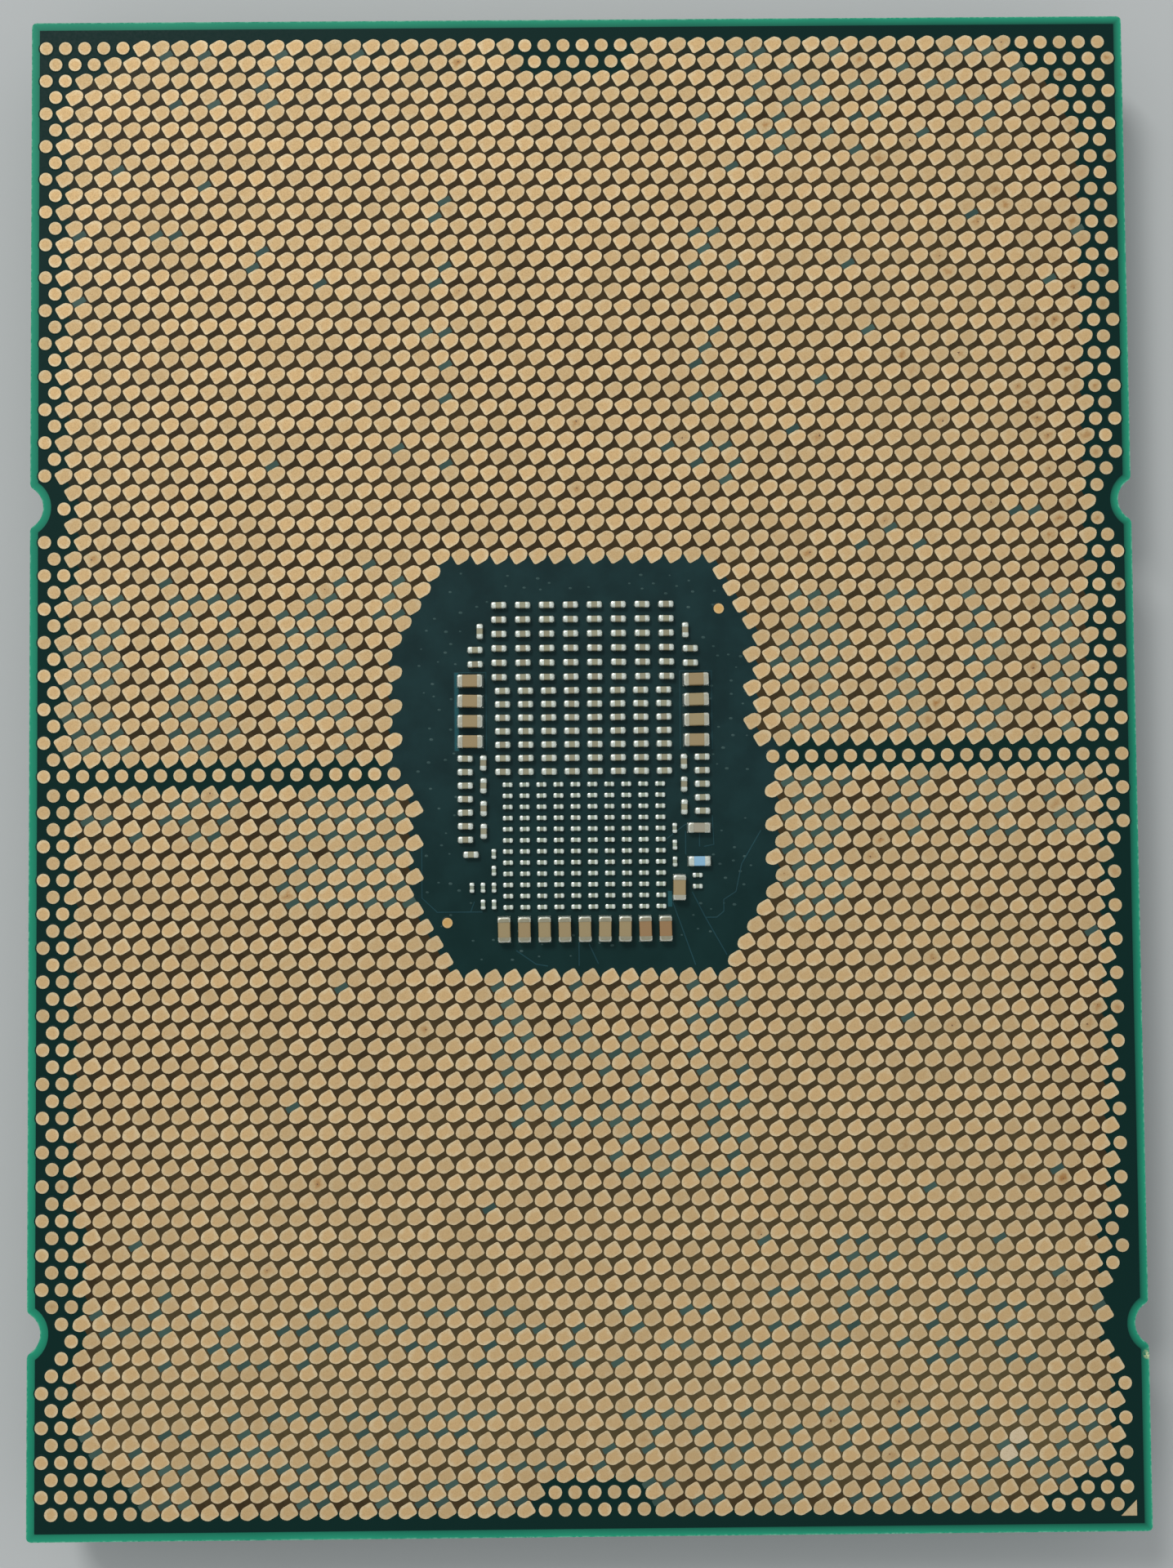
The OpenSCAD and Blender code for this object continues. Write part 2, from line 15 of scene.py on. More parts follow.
import bmesh
import bpy
import numpy as np
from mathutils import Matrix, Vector


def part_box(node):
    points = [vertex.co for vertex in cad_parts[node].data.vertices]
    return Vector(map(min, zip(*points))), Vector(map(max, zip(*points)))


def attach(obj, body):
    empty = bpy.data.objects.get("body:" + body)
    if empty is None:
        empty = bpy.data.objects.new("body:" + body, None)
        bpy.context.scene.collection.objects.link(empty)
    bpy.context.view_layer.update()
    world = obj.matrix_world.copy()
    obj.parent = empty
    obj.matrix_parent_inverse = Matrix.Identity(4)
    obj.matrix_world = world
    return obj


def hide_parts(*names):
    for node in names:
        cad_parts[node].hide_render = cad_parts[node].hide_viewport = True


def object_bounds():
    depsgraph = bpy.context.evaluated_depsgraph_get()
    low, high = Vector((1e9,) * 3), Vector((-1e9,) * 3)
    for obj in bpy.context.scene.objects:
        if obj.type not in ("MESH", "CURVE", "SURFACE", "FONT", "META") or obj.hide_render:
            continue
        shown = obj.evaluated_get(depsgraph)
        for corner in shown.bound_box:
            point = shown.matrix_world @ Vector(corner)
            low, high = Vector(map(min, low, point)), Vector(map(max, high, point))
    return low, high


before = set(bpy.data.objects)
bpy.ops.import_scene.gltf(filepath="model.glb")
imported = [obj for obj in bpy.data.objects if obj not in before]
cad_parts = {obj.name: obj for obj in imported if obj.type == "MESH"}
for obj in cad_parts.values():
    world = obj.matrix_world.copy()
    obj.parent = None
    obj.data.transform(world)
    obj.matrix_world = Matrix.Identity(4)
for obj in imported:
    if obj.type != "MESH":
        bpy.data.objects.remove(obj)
CAD_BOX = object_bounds()

LOG = logging.getLogger("server_processor")
MM = 0.001
ROOT = "root"
IMAGE_W, IMAGE_H = 1436, 1920
SENSOR_MM = 36.0

# Stretches of a noise's value that become a pattern's full contrast: soft and crisp.
SOFT = (0.3, 0.7)
CRISP = (0.35, 0.65)
# Share of a plate's outline at which it counts as partway in from its edge.
PARTWAY = 0.62
# Places of the least value, the greatest and the seed among a random node's inputs, whose names repeat.
LEAST, MOST, SEED = 2, 3, 8
COLOURS = {"data_type": "RGBA"}
NUMBERS = {"data_type": "FLOAT"}

Outline = list[tuple[float, float]]
Solid = tuple[list[tuple[float, float, float]], list[list[int]]]


def linear(hex_colour: str) -> tuple[float, float, float, float]:
    """Turns an sRGB hex colour into linear RGBA.

    Args:
        hex_colour: Six hex digits after a hash.

    Returns:
        The linear colour with full alpha.
    """
    parts = [int(hex_colour[i:i + 2], 16) / 255 for i in (1, 3, 5)]
    r, g, b = (p / 12.92 if p <= 0.04045 else ((p + 0.055) / 1.055) ** 2.4 for p in parts)
    return r, g, b, 1.0


def per_metre(size_mm: float) -> float:
    """Scale of a pattern whose marks are about one size across."""
    return 1 / (size_mm * MM)


class Kind(Enum):
    """Kinds of node that the materials and the geometry trees are made of."""

    ATTRIBUTE = "ShaderNodeAttribute"
    BUMP = "ShaderNodeBump"
    COORDINATES = "ShaderNodeTexCoord"
    JOIN_AXES = "ShaderNodeCombineXYZ"
    MAPPING = "ShaderNodeMapping"
    MATH = "ShaderNodeMath"
    MIX = "ShaderNodeMix"
    NOISE = "ShaderNodeTexNoise"
    RANGE = "ShaderNodeMapRange"
    SPLIT_AXES = "ShaderNodeSeparateXYZ"
    VECTOR_MATH = "ShaderNodeVectorMath"
    CIRCLE = "GeometryNodeCurvePrimitiveCircle"
    CURVE_TO_MESH = "GeometryNodeCurveToMesh"
    EDGES_TO_CURVE = "GeometryNodeMeshToCurve"
    INSTANCES = "GeometryNodeInstanceOnPoints"
    OBJECT = "GeometryNodeObjectInfo"
    POINTS_ON_FACES = "GeometryNodeDistributePointsOnFaces"
    POSITION = "GeometryNodeInputPosition"
    RANDOM = "FunctionNodeRandomValue"
    READ = "GeometryNodeInputNamedAttribute"
    REALIZE = "GeometryNodeRealizeInstances"
    SET_MATERIAL = "GeometryNodeSetMaterial"
    SET_POSITION = "GeometryNodeSetPosition"
    STORE = "GeometryNodeStoreNamedAttribute"


def add_node(tree: bpy.types.NodeTree, kind: Kind, *given: Any, out: str = "",
             **settings: Any) -> bpy.types.NodeSocket:
    """Adds a node to a tree, sets it up and links it.

    Args:
        tree: The shader or geometry tree.
        kind: The kind of node.
        *given: A value or a socket for each input in use, in order, or one dictionary of them.
        out: Name of the output that is wanted, if it isn't the first one in use.
        **settings: The node's own properties.

    Returns:
        The output.
    """
    node = tree.nodes.new(kind.value)
    for name, value in settings.items():
        setattr(node, name, value)
    in_use = [i for i, socket in enumerate(node.inputs) if socket.enabled]
    inputs = given[0] if given and isinstance(given[0], dict) else dict(zip(in_use, given))
    for key, value in inputs.items():
        if isinstance(value, bpy.types.NodeSocket):
            tree.links.new(value, node.inputs[key])
        else:
            node.inputs[key].default_value = value
    return node.outputs[out] if out else next(socket for socket in node.outputs if socket.enabled)


# Finishes


class Surface:
    """A material under construction: its shader, and the place that its patterns read."""

    def __init__(self, name: str, metallic: float, specular: float = 0.5) -> None:
        """Makes the material with one shader.

        Args:
            name: Name of the real material.
            metallic: 1 for a metal, 0 for anything else.
            specular: Specular level of a material that isn't a metal.
        """
        self.material = bpy.data.materials.new(name)
        self.material.use_nodes = True
        self.shader = self.material.node_tree.nodes["Principled BSDF"]
        self.feed("Metallic", metallic)
        self.feed("Specular IOR Level", specular)
        self.add = functools.partial(add_node, self.material.node_tree)
        self.place = self.add(Kind.COORDINATES, out="Object")

    def feed(self, name: str, value: Any) -> None:
        """Sets an input of the shader to a value, or links a socket to it.

        Args:
            name: Name of the input.
            value: The value or the socket.
        """
        if isinstance(value, bpy.types.NodeSocket):
            self.material.node_tree.links.new(value, self.shader.inputs[name])
        else:
            self.shader.inputs[name].default_value = value

    def finish(self, base: bpy.types.NodeSocket, grain: bpy.types.NodeSocket, rough: tuple[float, float],
               depth_mm: float) -> bpy.types.Material:
        """Links the colour, and lets one fine pattern vary the roughness and raise the surface.

        Args:
            base: The colour.
            grain: The pattern, from 0 to 1.
            rough: Least and greatest roughness.
            depth_mm: Height of the pattern's peaks.

        Returns:
            The finished material.
        """
        self.feed("Base Color", base)
        self.feed("Roughness", self.add(Kind.RANGE, grain, *SOFT, *rough))
        raised = {"Height": grain, "Distance": depth_mm * MM, "Strength": 1.0}
        self.feed("Normal", self.add(Kind.BUMP, raised))
        return self.material


@dataclass(frozen=True)
class GoldPlate:
    """Immersion gold over nickel: a matte, grainy gold, paler along a land's edge, brown where rubbed.

    The real grain is too fine to show, so it is drawn some ten times as coarse.
    """

    name: str = "immersion_gold"
    warm: str = "#d5b98b"
    pale: str = "#decdab"
    dim: str = "#b9a580"
    rubbed: str = "#b58a55"
    worn: str = "#e0d6c2"
    grain_mm: float = 0.05
    grain_depth_mm: float = 0.003
    blotch_mm: float = 0.3
    blotch_reach: float = 0.5
    inward: tuple[float, float] = (0.0, 1.2)
    rubbed_core: tuple[float, float] = (1.15, 1.9)
    rubbed_tint: tuple[float, float] = (-0.2, -0.8)
    worn_tint: tuple[float, float] = (0.9, 1.2)
    dim_tint: tuple[float, ...] = (0.35, 0.75, 0.35, 0.0)
    fleck: tuple[float, ...] = (0.56, 0.74, 0.0, 0.45)
    roughness: float = 0.76
    roughness_span: float = 0.06

    def material(self) -> bpy.types.Material:
        """Builds the material.

        The mesh carries "core", how near a point is to its land's middle, and "tint", how the land has
        worn: below 0 rubbed brown, about 0.6 fresh, above 0.9 worn pale.

        Returns:
            The material.
        """
        surface = Surface(self.name, metallic=1.0)
        add, place = surface.add, surface.place
        tint, core = (add(Kind.ATTRIBUTE, attribute_name=name, out="Fac") for name in ("tint", "core"))
        grain = add(Kind.NOISE, place, per_metre(self.grain_mm), 3.0)
        blotch = add(Kind.NOISE, place, per_metre(self.blotch_mm), 4.0)
        uneven = add(Kind.RANGE, blotch, *SOFT, -self.blotch_reach, self.blotch_reach)
        ragged = add(Kind.MATH, core, uneven, operation="ADD")
        inward = add(Kind.RANGE, ragged, *self.inward)
        middle = add(Kind.RANGE, ragged, *self.rubbed_core)
        rubbed = add(Kind.RANGE, tint, *self.rubbed_tint)
        base = add(Kind.MIX, inward, linear(self.pale), linear(self.warm), **COLOURS)
        for share, colour in (
            (add(Kind.RANGE, tint, *self.dim_tint), self.dim),
            (add(Kind.MATH, middle, rubbed, operation="MULTIPLY"), self.rubbed),
            (add(Kind.RANGE, tint, *self.worn_tint), self.worn),
            (add(Kind.RANGE, grain, *self.fleck), self.dim),
        ):
            base = add(Kind.MIX, share, base, linear(colour), **COLOURS)
        rough = (self.roughness - self.roughness_span, self.roughness + self.roughness_span)
        return surface.finish(base, grain, rough, self.grain_depth_mm)


@dataclass(frozen=True)
class SolderMask:
    """Cured epoxy solder mask: a thin, dark, satin film that takes its tint from what lies under it."""

    name: str
    deep: str
    light: str
    other: str | None = None
    thin: str | None = None
    outer: str | None = None
    window_mm: tuple[float, float] = (9.6, 10.8)
    window_blend: float = 0.1
    lower_share: float = 0.6
    # How far the window's lower end takes the outer colour, as painted shade.
    blotch_mm: float = 1.6
    ripple_mm: float = 0.12
    ripple_depth_mm: float = 0.001
    rough: tuple[float, float] = (0.36, 0.5)
    specular: float = 0.12

    def outside(self, surface: Surface) -> bpy.types.NodeSocket:
        """Tells the component window from the rest of the board, and paints shade into the window's lower
        end.

        Args:
            surface: The material under construction.

        Returns:
            A share: 0 in the window, rising towards its lower end as painted shade, and 1 on the rest of the
                board.
        """
        add = surface.add
        axes = add(Kind.SPLIT_AXES, surface.place).node.outputs
        reach = [add(Kind.MATH, axes[axis], operation="ABSOLUTE") for axis in "XY"]
        spans = [add(Kind.MATH, far, half * MM, operation="DIVIDE")
                 for far, half in zip(reach, self.window_mm)]
        span = add(Kind.MATH, *spans, operation="MAXIMUM")
        beyond = add(Kind.RANGE, span, 1.0, 1.0 + self.window_blend)
        # Painted shade: the window's mask takes the darker outer colour towards its lower end, where the
        # chips' shadows fall.
        lower = add(Kind.RANGE, axes["Y"], 0.0, -self.window_mm[1] * MM, 0.0, self.lower_share)
        return add(Kind.MATH, beyond, lower, operation="MAXIMUM")

    def material(self) -> bpy.types.Material:
        """Builds the material; the other colour comes in as the mesh's tint rises, the thin one as it falls.

        Returns:
            The material.
        """
        surface = Surface(self.name, metallic=0.0, specular=self.specular)
        add, place = surface.add, surface.place
        blotch = add(Kind.RANGE, add(Kind.NOISE, place, per_metre(self.blotch_mm), 4.0), *CRISP)
        base = add(Kind.MIX, blotch, linear(self.deep), linear(self.light), **COLOURS)
        for end, colour in ((1.0, self.other), (-1.0, self.thin)):
            if colour is not None:
                tint = add(Kind.ATTRIBUTE, attribute_name="tint", out="Fac")
                base = add(Kind.MIX, add(Kind.RANGE, tint, 0.0, end), base, linear(colour), **COLOURS)
        if self.outer is not None:
            outside = self.outside(surface)
            base = add(Kind.MIX, outside, base, linear(self.outer), **COLOURS)
            dimmed = add(Kind.RANGE, outside, 0.0, 1.0, self.specular, self.specular / 2)
            surface.feed("Specular IOR Level", dimmed)
        ripple = add(Kind.NOISE, place, per_metre(self.ripple_mm), 2.0)
        return surface.finish(base, ripple, self.rough, self.ripple_depth_mm)


@dataclass(frozen=True)
class GlassEpoxy:
    """Glass-filled epoxy laminate: bright green where bare, darker inward from its cut edge but lighter on
    the left as painted light, with a paler, layered and frayed cut edge.
    """

    name: str = "glass_epoxy_laminate"
    face: str = "#23906f"
    face_dark: str = "#1c8567"
    shaded: str = "#0b4a3c"
    core: str = "#78875c"
    core_dark: str = "#5a7355"
    fray: str = "#86c4a8"
    chipped: str = "#cfcf9c"
    patch_mm: float = 9.0
    ragged_mm: float = 0.16
    ragged_band: tuple[float, float] = (0.42, 0.62)
    layer_mm: float = 0.12
    layer_depth_mm: float = 0.01
    layer_stretch: tuple[float, float, float] = (0.01, 0.01, 1.0)
    rough: tuple[float, float] = (0.5, 0.5)
    specular: float = 0.12
    build_up_mm: float = 0.36
    blend_mm: float = 0.02
    shade_mm: tuple[float, float] = (0.05, 0.44)
    # Share of the rim's inward darkening kept at the left edge: painted light from the lamp on that side.
    lit_shade: float = 0.5
    fray_mm: tuple[float, float] = (0.07, 0.01)
    fray_share: float = 0.6
    top_mm: tuple[float, float] = (0.03, 0.005)
    notch_r_mm: float = 1.15
    notch_depth_mm: float = 0.67
    notch_y_mm: tuple[float, float] = (13.45, -28.42)
    chip_place_mm: tuple[float, float, float] = (28.2, -29.95, 5.2)
    chip_mm: tuple[float, float] = (0.3, 0.09)

    def edge_distance(self, surface: Surface, axes: bpy.types.NodeOutputs,
                      high: Vector) -> bpy.types.NodeSocket:
        """Distance in plan from the board's outline, notches included.

        Args:
            surface: The material under construction.
            axes: X, Y and Z of the place.
            high: Highest corner of the board.

        Returns:
            The distance in metres.
        """
        add = surface.add
        across, along = (add(Kind.MATH, axes[axis], operation="ABSOLUTE") for axis in "XY")
        insets = [add(Kind.MATH, far, near, operation="SUBTRACT")
                  for far, near in ((high.x, across), (high.y, along))]
        nearest = add(Kind.MATH, *insets, operation="MINIMUM")
        plan = add(Kind.JOIN_AXES, across, axes["Y"], 0.0)
        notch_x = high.x + (self.notch_r_mm - self.notch_depth_mm) * MM
        for notch_y in self.notch_y_mm:
            span = add(Kind.VECTOR_MATH, plan, (notch_x, notch_y * MM, 0.0), operation="DISTANCE")
            inset = add(Kind.MATH, span, self.notch_r_mm * MM, operation="SUBTRACT")
            nearest = add(Kind.MATH, nearest, inset, operation="MINIMUM")
        return nearest

    def material(self, low: Vector, high: Vector) -> bpy.types.Material:
        """Builds the material for one board.

        Args:
            low: Lowest corner of the board.
            high: Highest corner of the board.

        Returns:
            The material.
        """
        surface = Surface(self.name, metallic=0.0, specular=self.specular)
        add, place = surface.add, surface.place
        axes = add(Kind.SPLIT_AXES, place).node.outputs
        inset = self.edge_distance(surface, axes, high)
        tatters = add(Kind.NOISE, place, per_metre(self.ragged_mm), 4.0)
        ragged = add(Kind.RANGE, tatters, *self.ragged_band)
        patch = add(Kind.RANGE, add(Kind.NOISE, place, per_metre(self.patch_mm), 3.0), *CRISP)
        face = add(Kind.MIX, patch, linear(self.face), linear(self.face_dark), **COLOURS)
        deeper = add(Kind.RANGE, inset, *(v * MM for v in self.shade_mm))
        # Painted light: the rim's inward darkening is weakened towards the left, where the lamp falls, so the
        # left rim reads lighter.
        lit = add(Kind.RANGE, axes["X"], low.x, high.x, self.lit_shade, 1.0)
        shade = add(Kind.MATH, deeper, lit, operation="MULTIPLY")
        edge = add(Kind.RANGE, inset, *(v * MM for v in self.fray_mm), 0.0, self.fray_share)
        on_top = add(Kind.RANGE, axes["Z"], *(high.z - v * MM for v in self.top_mm))
        upper_edge = add(Kind.MATH, edge, on_top, operation="MULTIPLY")
        frayed = add(Kind.MATH, upper_edge, ragged, operation="MULTIPLY")
        for share, colour in ((shade, self.shaded), (frayed, self.fray)):
            face = add(Kind.MIX, share, face, linear(colour), **COLOURS)
        level = add(Kind.MAPPING, {"Vector": place, "Scale": self.layer_stretch})
        lines = add(Kind.NOISE, level, per_metre(self.layer_mm), 3.0)
        layers = add(Kind.RANGE, lines, *CRISP)
        core = add(Kind.MIX, layers, linear(self.core_dark), linear(self.core), **COLOURS)
        height = add(Kind.MATH, axes["Z"], (low.z + high.z) / 2, operation="SUBTRACT")
        half_core = (high.z - low.z) / 2 - self.build_up_mm * MM
        from_middle = add(Kind.MATH, height, operation="ABSOLUTE")
        skin = add(Kind.RANGE, from_middle, half_core - self.blend_mm * MM, half_core)
        base = add(Kind.MIX, skin, core, face, **COLOURS)
        chip = [v * MM for v in self.chip_place_mm]
        away = add(Kind.VECTOR_MATH, place, chip, operation="DISTANCE")
        broken = add(Kind.RANGE, away, *(v * MM for v in self.chip_mm))
        chipped = add(Kind.MATH, broken, ragged, operation="MULTIPLY")
        base = add(Kind.MIX, chipped, base, linear(self.chipped), **COLOURS)
        return surface.finish(base, lines, self.rough, self.layer_depth_mm)


@dataclass(frozen=True)
class NickelPlate:
    """Nickel-plated stamped copper: a soft grey metal with a fine rolled grain and faint, cloudy marks."""

    name: str = "nickel_plated_copper"
    bright: str = "#c3c3bd"
    dull: str = "#b8b9b4"
    cloud_mm: float = 15.0
    grain_mm: float = 0.08
    grain_depth_mm: float = 0.003
    grain_stretch: tuple[float, float, float] = (1.0, 0.03, 1.0)
    rough: tuple[float, float] = (0.27, 0.42)

    def material(self) -> bpy.types.Material:
        """Builds the material.

        Returns:
            The material.
        """
        surface = Surface(self.name, metallic=1.0)
        add, place = surface.add, surface.place
        cloud = add(Kind.RANGE, add(Kind.NOISE, place, per_metre(self.cloud_mm), 3.0), *SOFT)
        base = add(Kind.MIX, cloud, linear(self.bright), linear(self.dull), **COLOURS)
        along = add(Kind.MAPPING, {"Vector": place, "Scale": self.grain_stretch})
        grain = add(Kind.NOISE, along, per_metre(self.grain_mm), 3.0)
        return surface.finish(base, grain, self.rough, self.grain_depth_mm)


@dataclass(frozen=True)
class TinSolder:
    """Tin plating wetted by solder: a bright, frosted silver, on wide chips duller and warmer on top, which
    leaves the rounded rim bright as a painted highlight.
    """

    name: str = "tin_solder"
    bright: str = "#dfe4da"
    dull: str = "#bfc6ba"
    top: str | None = None
    blotch_mm: float = 0.12
    blotch_band: tuple[float, float] = (0.35, 0.68)
    blotch_depth_mm: float = 0.006
    top_core: tuple[float, float] = (0.1, 0.9)
    rough: tuple[float, float] = (0.3, 0.5)

    def material(self) -> bpy.types.Material:
        """Builds the material; the mesh says how far in from its rounded edge each point lies.

        Returns:
            The material.
        """
        surface = Surface(self.name, metallic=1.0)
        add = surface.add
        blotch = add(Kind.NOISE, surface.place, per_metre(self.blotch_mm), 3.0)
        share = add(Kind.RANGE, blotch, *self.blotch_band)
        base = add(Kind.MIX, share, linear(self.bright), linear(self.dull), **COLOURS)
        # Painted highlight: on wide chips the flat top takes a duller, warmer colour, so the rounded rim
        # stays bright as a highlight.
        if self.top is not None:
            core = add(Kind.ATTRIBUTE, attribute_name="core", out="Fac")
            flat = add(Kind.RANGE, core, *self.top_core)
            base = add(Kind.MIX, flat, base, linear(self.top), **COLOURS)
        return surface.finish(base, blotch, self.rough, self.blotch_depth_mm)


@dataclass(frozen=True)
class Ceramic:
    """Fired barium titanate: a smooth, satin ceramic whose shade differs from chip to chip.

    The real grit is too fine to show, so it is drawn as coarse as it needs to be.
    """

    name: str
    light: str
    dark: str
    grit_mm: float = 0.04
    grit_depth_mm: float = 0.002
    speck: tuple[float, ...] = (0.55, 0.75, 0.0, 0.35)
    rough: tuple[float, float] = (0.34, 0.5)
    specular: float = 0.45

    def material(self) -> bpy.types.Material:
        """Builds the material.

        Returns:
            The material.
        """
        surface = Surface(self.name, metallic=0.0, specular=self.specular)
        add = surface.add
        tint = add(Kind.ATTRIBUTE, attribute_name="tint", out="Fac")
        base = add(Kind.MIX, tint, linear(self.light), linear(self.dark), **COLOURS)
        grit = add(Kind.NOISE, surface.place, per_metre(self.grit_mm), 2.0)
        speck = add(Kind.RANGE, grit, *self.speck)
        base = add(Kind.MIX, speck, base, linear(self.dark), **COLOURS)
        return surface.finish(base, grit, self.rough, self.grit_depth_mm)


@dataclass(frozen=True)
class Cured:
    """Cured, cast or grown matter, such as silicone, epoxy or silicon, with a slightly uneven skin."""

    name: str
    light: str
    dark: str
    metallic: float = 0.0
    roughness: float = 0.5
    roughness_span: float = 0.08
    blotch_mm: float = 0.6
    blotch_depth_mm: float = 0.01

    def material(self) -> bpy.types.Material:
        """Builds the material.

        Returns:
            The material.
        """
        surface = Surface(self.name, metallic=self.metallic)
        blotch = surface.add(Kind.NOISE, surface.place, per_metre(self.blotch_mm), 4.0)
        share = surface.add(Kind.RANGE, blotch, *CRISP)
        base = surface.add(Kind.MIX, share, linear(self.light), linear(self.dark), **COLOURS)
        rough = (self.roughness - self.roughness_span, self.roughness + self.roughness_span)
        return surface.finish(base, blotch, rough, self.blotch_depth_mm)


# Places read from the frame


@dataclass(frozen=True)
class Islands:
    """Boxes of the separate solids of one node, in metres."""

    low: np.ndarray
    high: np.ndarray

    @property
    def centre(self) -> np.ndarray:
        """Middles of the boxes."""
        return (self.low + self.high) / 2

    @property
    def feet(self) -> np.ndarray:
        """Middles of the boxes' lower faces."""
        return np.column_stack([self.centre[:, :2], self.low[:, 2]])

    @property
    def size(self) -> np.ndarray:
        """Sizes of the boxes along X, Y and Z."""
        return self.high - self.low


def islands(node: str) -> Islands:
    """Finds the separate solids of a node.

    Args:
        node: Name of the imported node.

    Returns:
        The solids' boxes, from left to right.
    """
    same_point = 0.0005 * MM
    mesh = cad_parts[node].data
    mesh.calc_loop_triangles()
    points = np.zeros(len(mesh.vertices) * 3)
    mesh.vertices.foreach_get("co", points)
    points = points.reshape(-1, 3)
    corners = np.zeros(len(mesh.loop_triangles) * 3, dtype=np.int64)
    mesh.loop_triangles.foreach_get("vertices", corners)
    _, merged = np.unique(np.round(points / same_point).astype(np.int64), axis=0, return_inverse=True)
    merged = merged.ravel()
    triangles = merged[corners].reshape(-1, 3)
    labels = np.arange(merged.max() + 1)
    while True:
        least = labels[triangles].min(axis=1)
        spread = labels.copy()
        np.minimum.at(spread, triangles.ravel(), np.repeat(least, 3))
        spread = spread[spread]
        if np.array_equal(spread, labels):
            break
        labels = spread
    groups, owner = np.unique(labels[merged], return_inverse=True)
    low = np.full((len(groups), 3), np.inf)
    high = np.full((len(groups), 3), -np.inf)
    np.minimum.at(low, owner, points)
    np.maximum.at(high, owner, points)
    order = np.lexsort((low[:, 1], low[:, 0]))
    return Islands(low[order], high[order])


# Meshes


def mesh_object(name: str, vertices: Sequence[Sequence[float]], faces: Sequence[Sequence[int]] = (),
                edges: Sequence[Sequence[int]] = ()) -> bpy.types.Object:
    """Makes a linked mesh object at the origin.

    Args:
        name: Name of the object.
        vertices: Points in metres.
        faces: Corner numbers of each face.
        edges: End numbers of each loose edge.

    Returns:
        The object.
    """
    mesh = bpy.data.meshes.new(name)
    mesh.from_pydata([tuple(v) for v in vertices], [tuple(e) for e in edges], [tuple(f) for f in faces])
    mesh.update()
    obj = bpy.data.objects.new(name, mesh)
    bpy.context.scene.collection.objects.link(obj)
    return obj


def arc(centre: tuple[float, float], radius: float, start: float, end: float, steps: int) -> Outline:
    """Points along an arc of so many chords, from one angle to another in degrees, ends included."""
    angles = [math.radians(start + (end - start) * i / steps) for i in range(steps + 1)]
    return [(centre[0] + radius * math.cos(a), centre[1] + radius * math.sin(a)) for a in angles]


def circle(radius: float, steps: int, centre: tuple[float, float] = (0.0, 0.0)) -> Outline:
    """Closed circle, anticlockwise."""
    return arc(centre, radius, 0, 360, steps)[:-1]


def rectangle(half_x: float, half_y: float) -> Outline:
    """Corners of a rectangle about the origin, anticlockwise."""
    return [(-half_x, -half_y), (half_x, -half_y), (half_x, half_y), (-half_x, half_y)]


def scaled(outline: Outline, share: float) -> Outline:
    """An outline drawn smaller or larger about the origin."""
    return [(share * x, share * y) for x, y in outline]


def grown(outline: Outline, distance: float) -> Outline:
    """Moves a closed outline's points outwards along their normals.

    Args:
        outline: The points, anticlockwise.
        distance: How far, negative to shrink.

    Returns:
        The moved points.
    """
    moved = []
    count = len(outline)
    for i, (x, y) in enumerate(outline):
        before, after = outline[i - 1], outline[(i + 1) % count]
        tangent = Vector((after[0] - before[0], after[1] - before[1])).normalized()
        moved.append((x + tangent.y * distance, y - tangent.x * distance))
    return moved


def stacked(layers: Sequence[tuple[Outline, float]]) -> Solid:
    """Closed solid through a stack of outlines that have equally many points.

    Args:
        layers: Each outline, anticlockwise, with its height, from the lowest up.

    Returns:
        The solid's vertices and faces, the lower cap first and the upper one second.
    """
    count = len(layers[0][0])
    vertices = [(x, y, z) for outline, z in layers for x, y in outline]
    faces = [list(range(count))[::-1], [len(vertices) - count + i for i in range(count)]]
    for level in range(len(layers) - 1):
        base = level * count
        for i in range(count):
            j = (i + 1) % count
            faces.append([base + i, base + j, base + count + j, base + count + i])
    return vertices, faces


def pattern(name: str, *solids: Solid) -> bpy.types.Object:
    """Makes an object from one or more closed solids.

    Args:
        name: Name of the object.
        *solids: Vertices and faces of each solid, in metres.

    Returns:
        The object.
    """
    vertices: list = []
    faces: list = []
    for points, sides in solids:
        faces += [[len(vertices) + i for i in side] for side in sides]
        vertices += points
    return mesh_object(name, vertices, faces)


def carry(obj: bpy.types.Object, name: str, values: Sequence[float]) -> None:
    """Gives each point of an object's mesh a number, which a tree or a material reads by its name."""
    numbers = np.array(values, dtype=np.float32)
    obj.data.attributes.new(name, "FLOAT", "POINT").data.foreach_set("value", numbers)


def plate(name: str, outline: Outline, thickness: float, edge: float) -> bpy.types.Object:
    """Makes a flat plate to be repeated, with softened upper edges.

    Args:
        name: Name of the object.
        outline: Its outline about the origin, anticlockwise.
        thickness: Its height.
        edge: Width of the softened edge.

    Returns:
        The object, whose points carry "core": 0 at the edge, 1 partway in and 2 in the middle.
    """
    partway = scaled(outline, PARTWAY)
    layers = [(outline, 0.0), (outline, thickness - edge), (grown(outline, -edge), thickness)]
    vertices, faces = stacked(layers + [(partway, thickness)])
    top = faces.pop(1)
    faces += [[here, there, len(vertices)] for here, there in zip(top, top[1:] + top[:1])]
    obj = pattern(name, (vertices + [(0.0, 0.0, thickness)], faces))
    carry(obj, "core", [0.0] * (3 * len(outline)) + [1.0] * len(outline) + [2.0])
    return obj


def face_outwards(obj: bpy.types.Object) -> None:
    """Turns a closed mesh's faces outwards.

    Args:
        obj: Object that holds the mesh.
    """
    mesh = bmesh.new()
    mesh.from_mesh(obj.data)
    bmesh.ops.recalc_face_normals(mesh, faces=mesh.faces)
    mesh.to_mesh(obj.data)
    mesh.free()


# Geometry trees


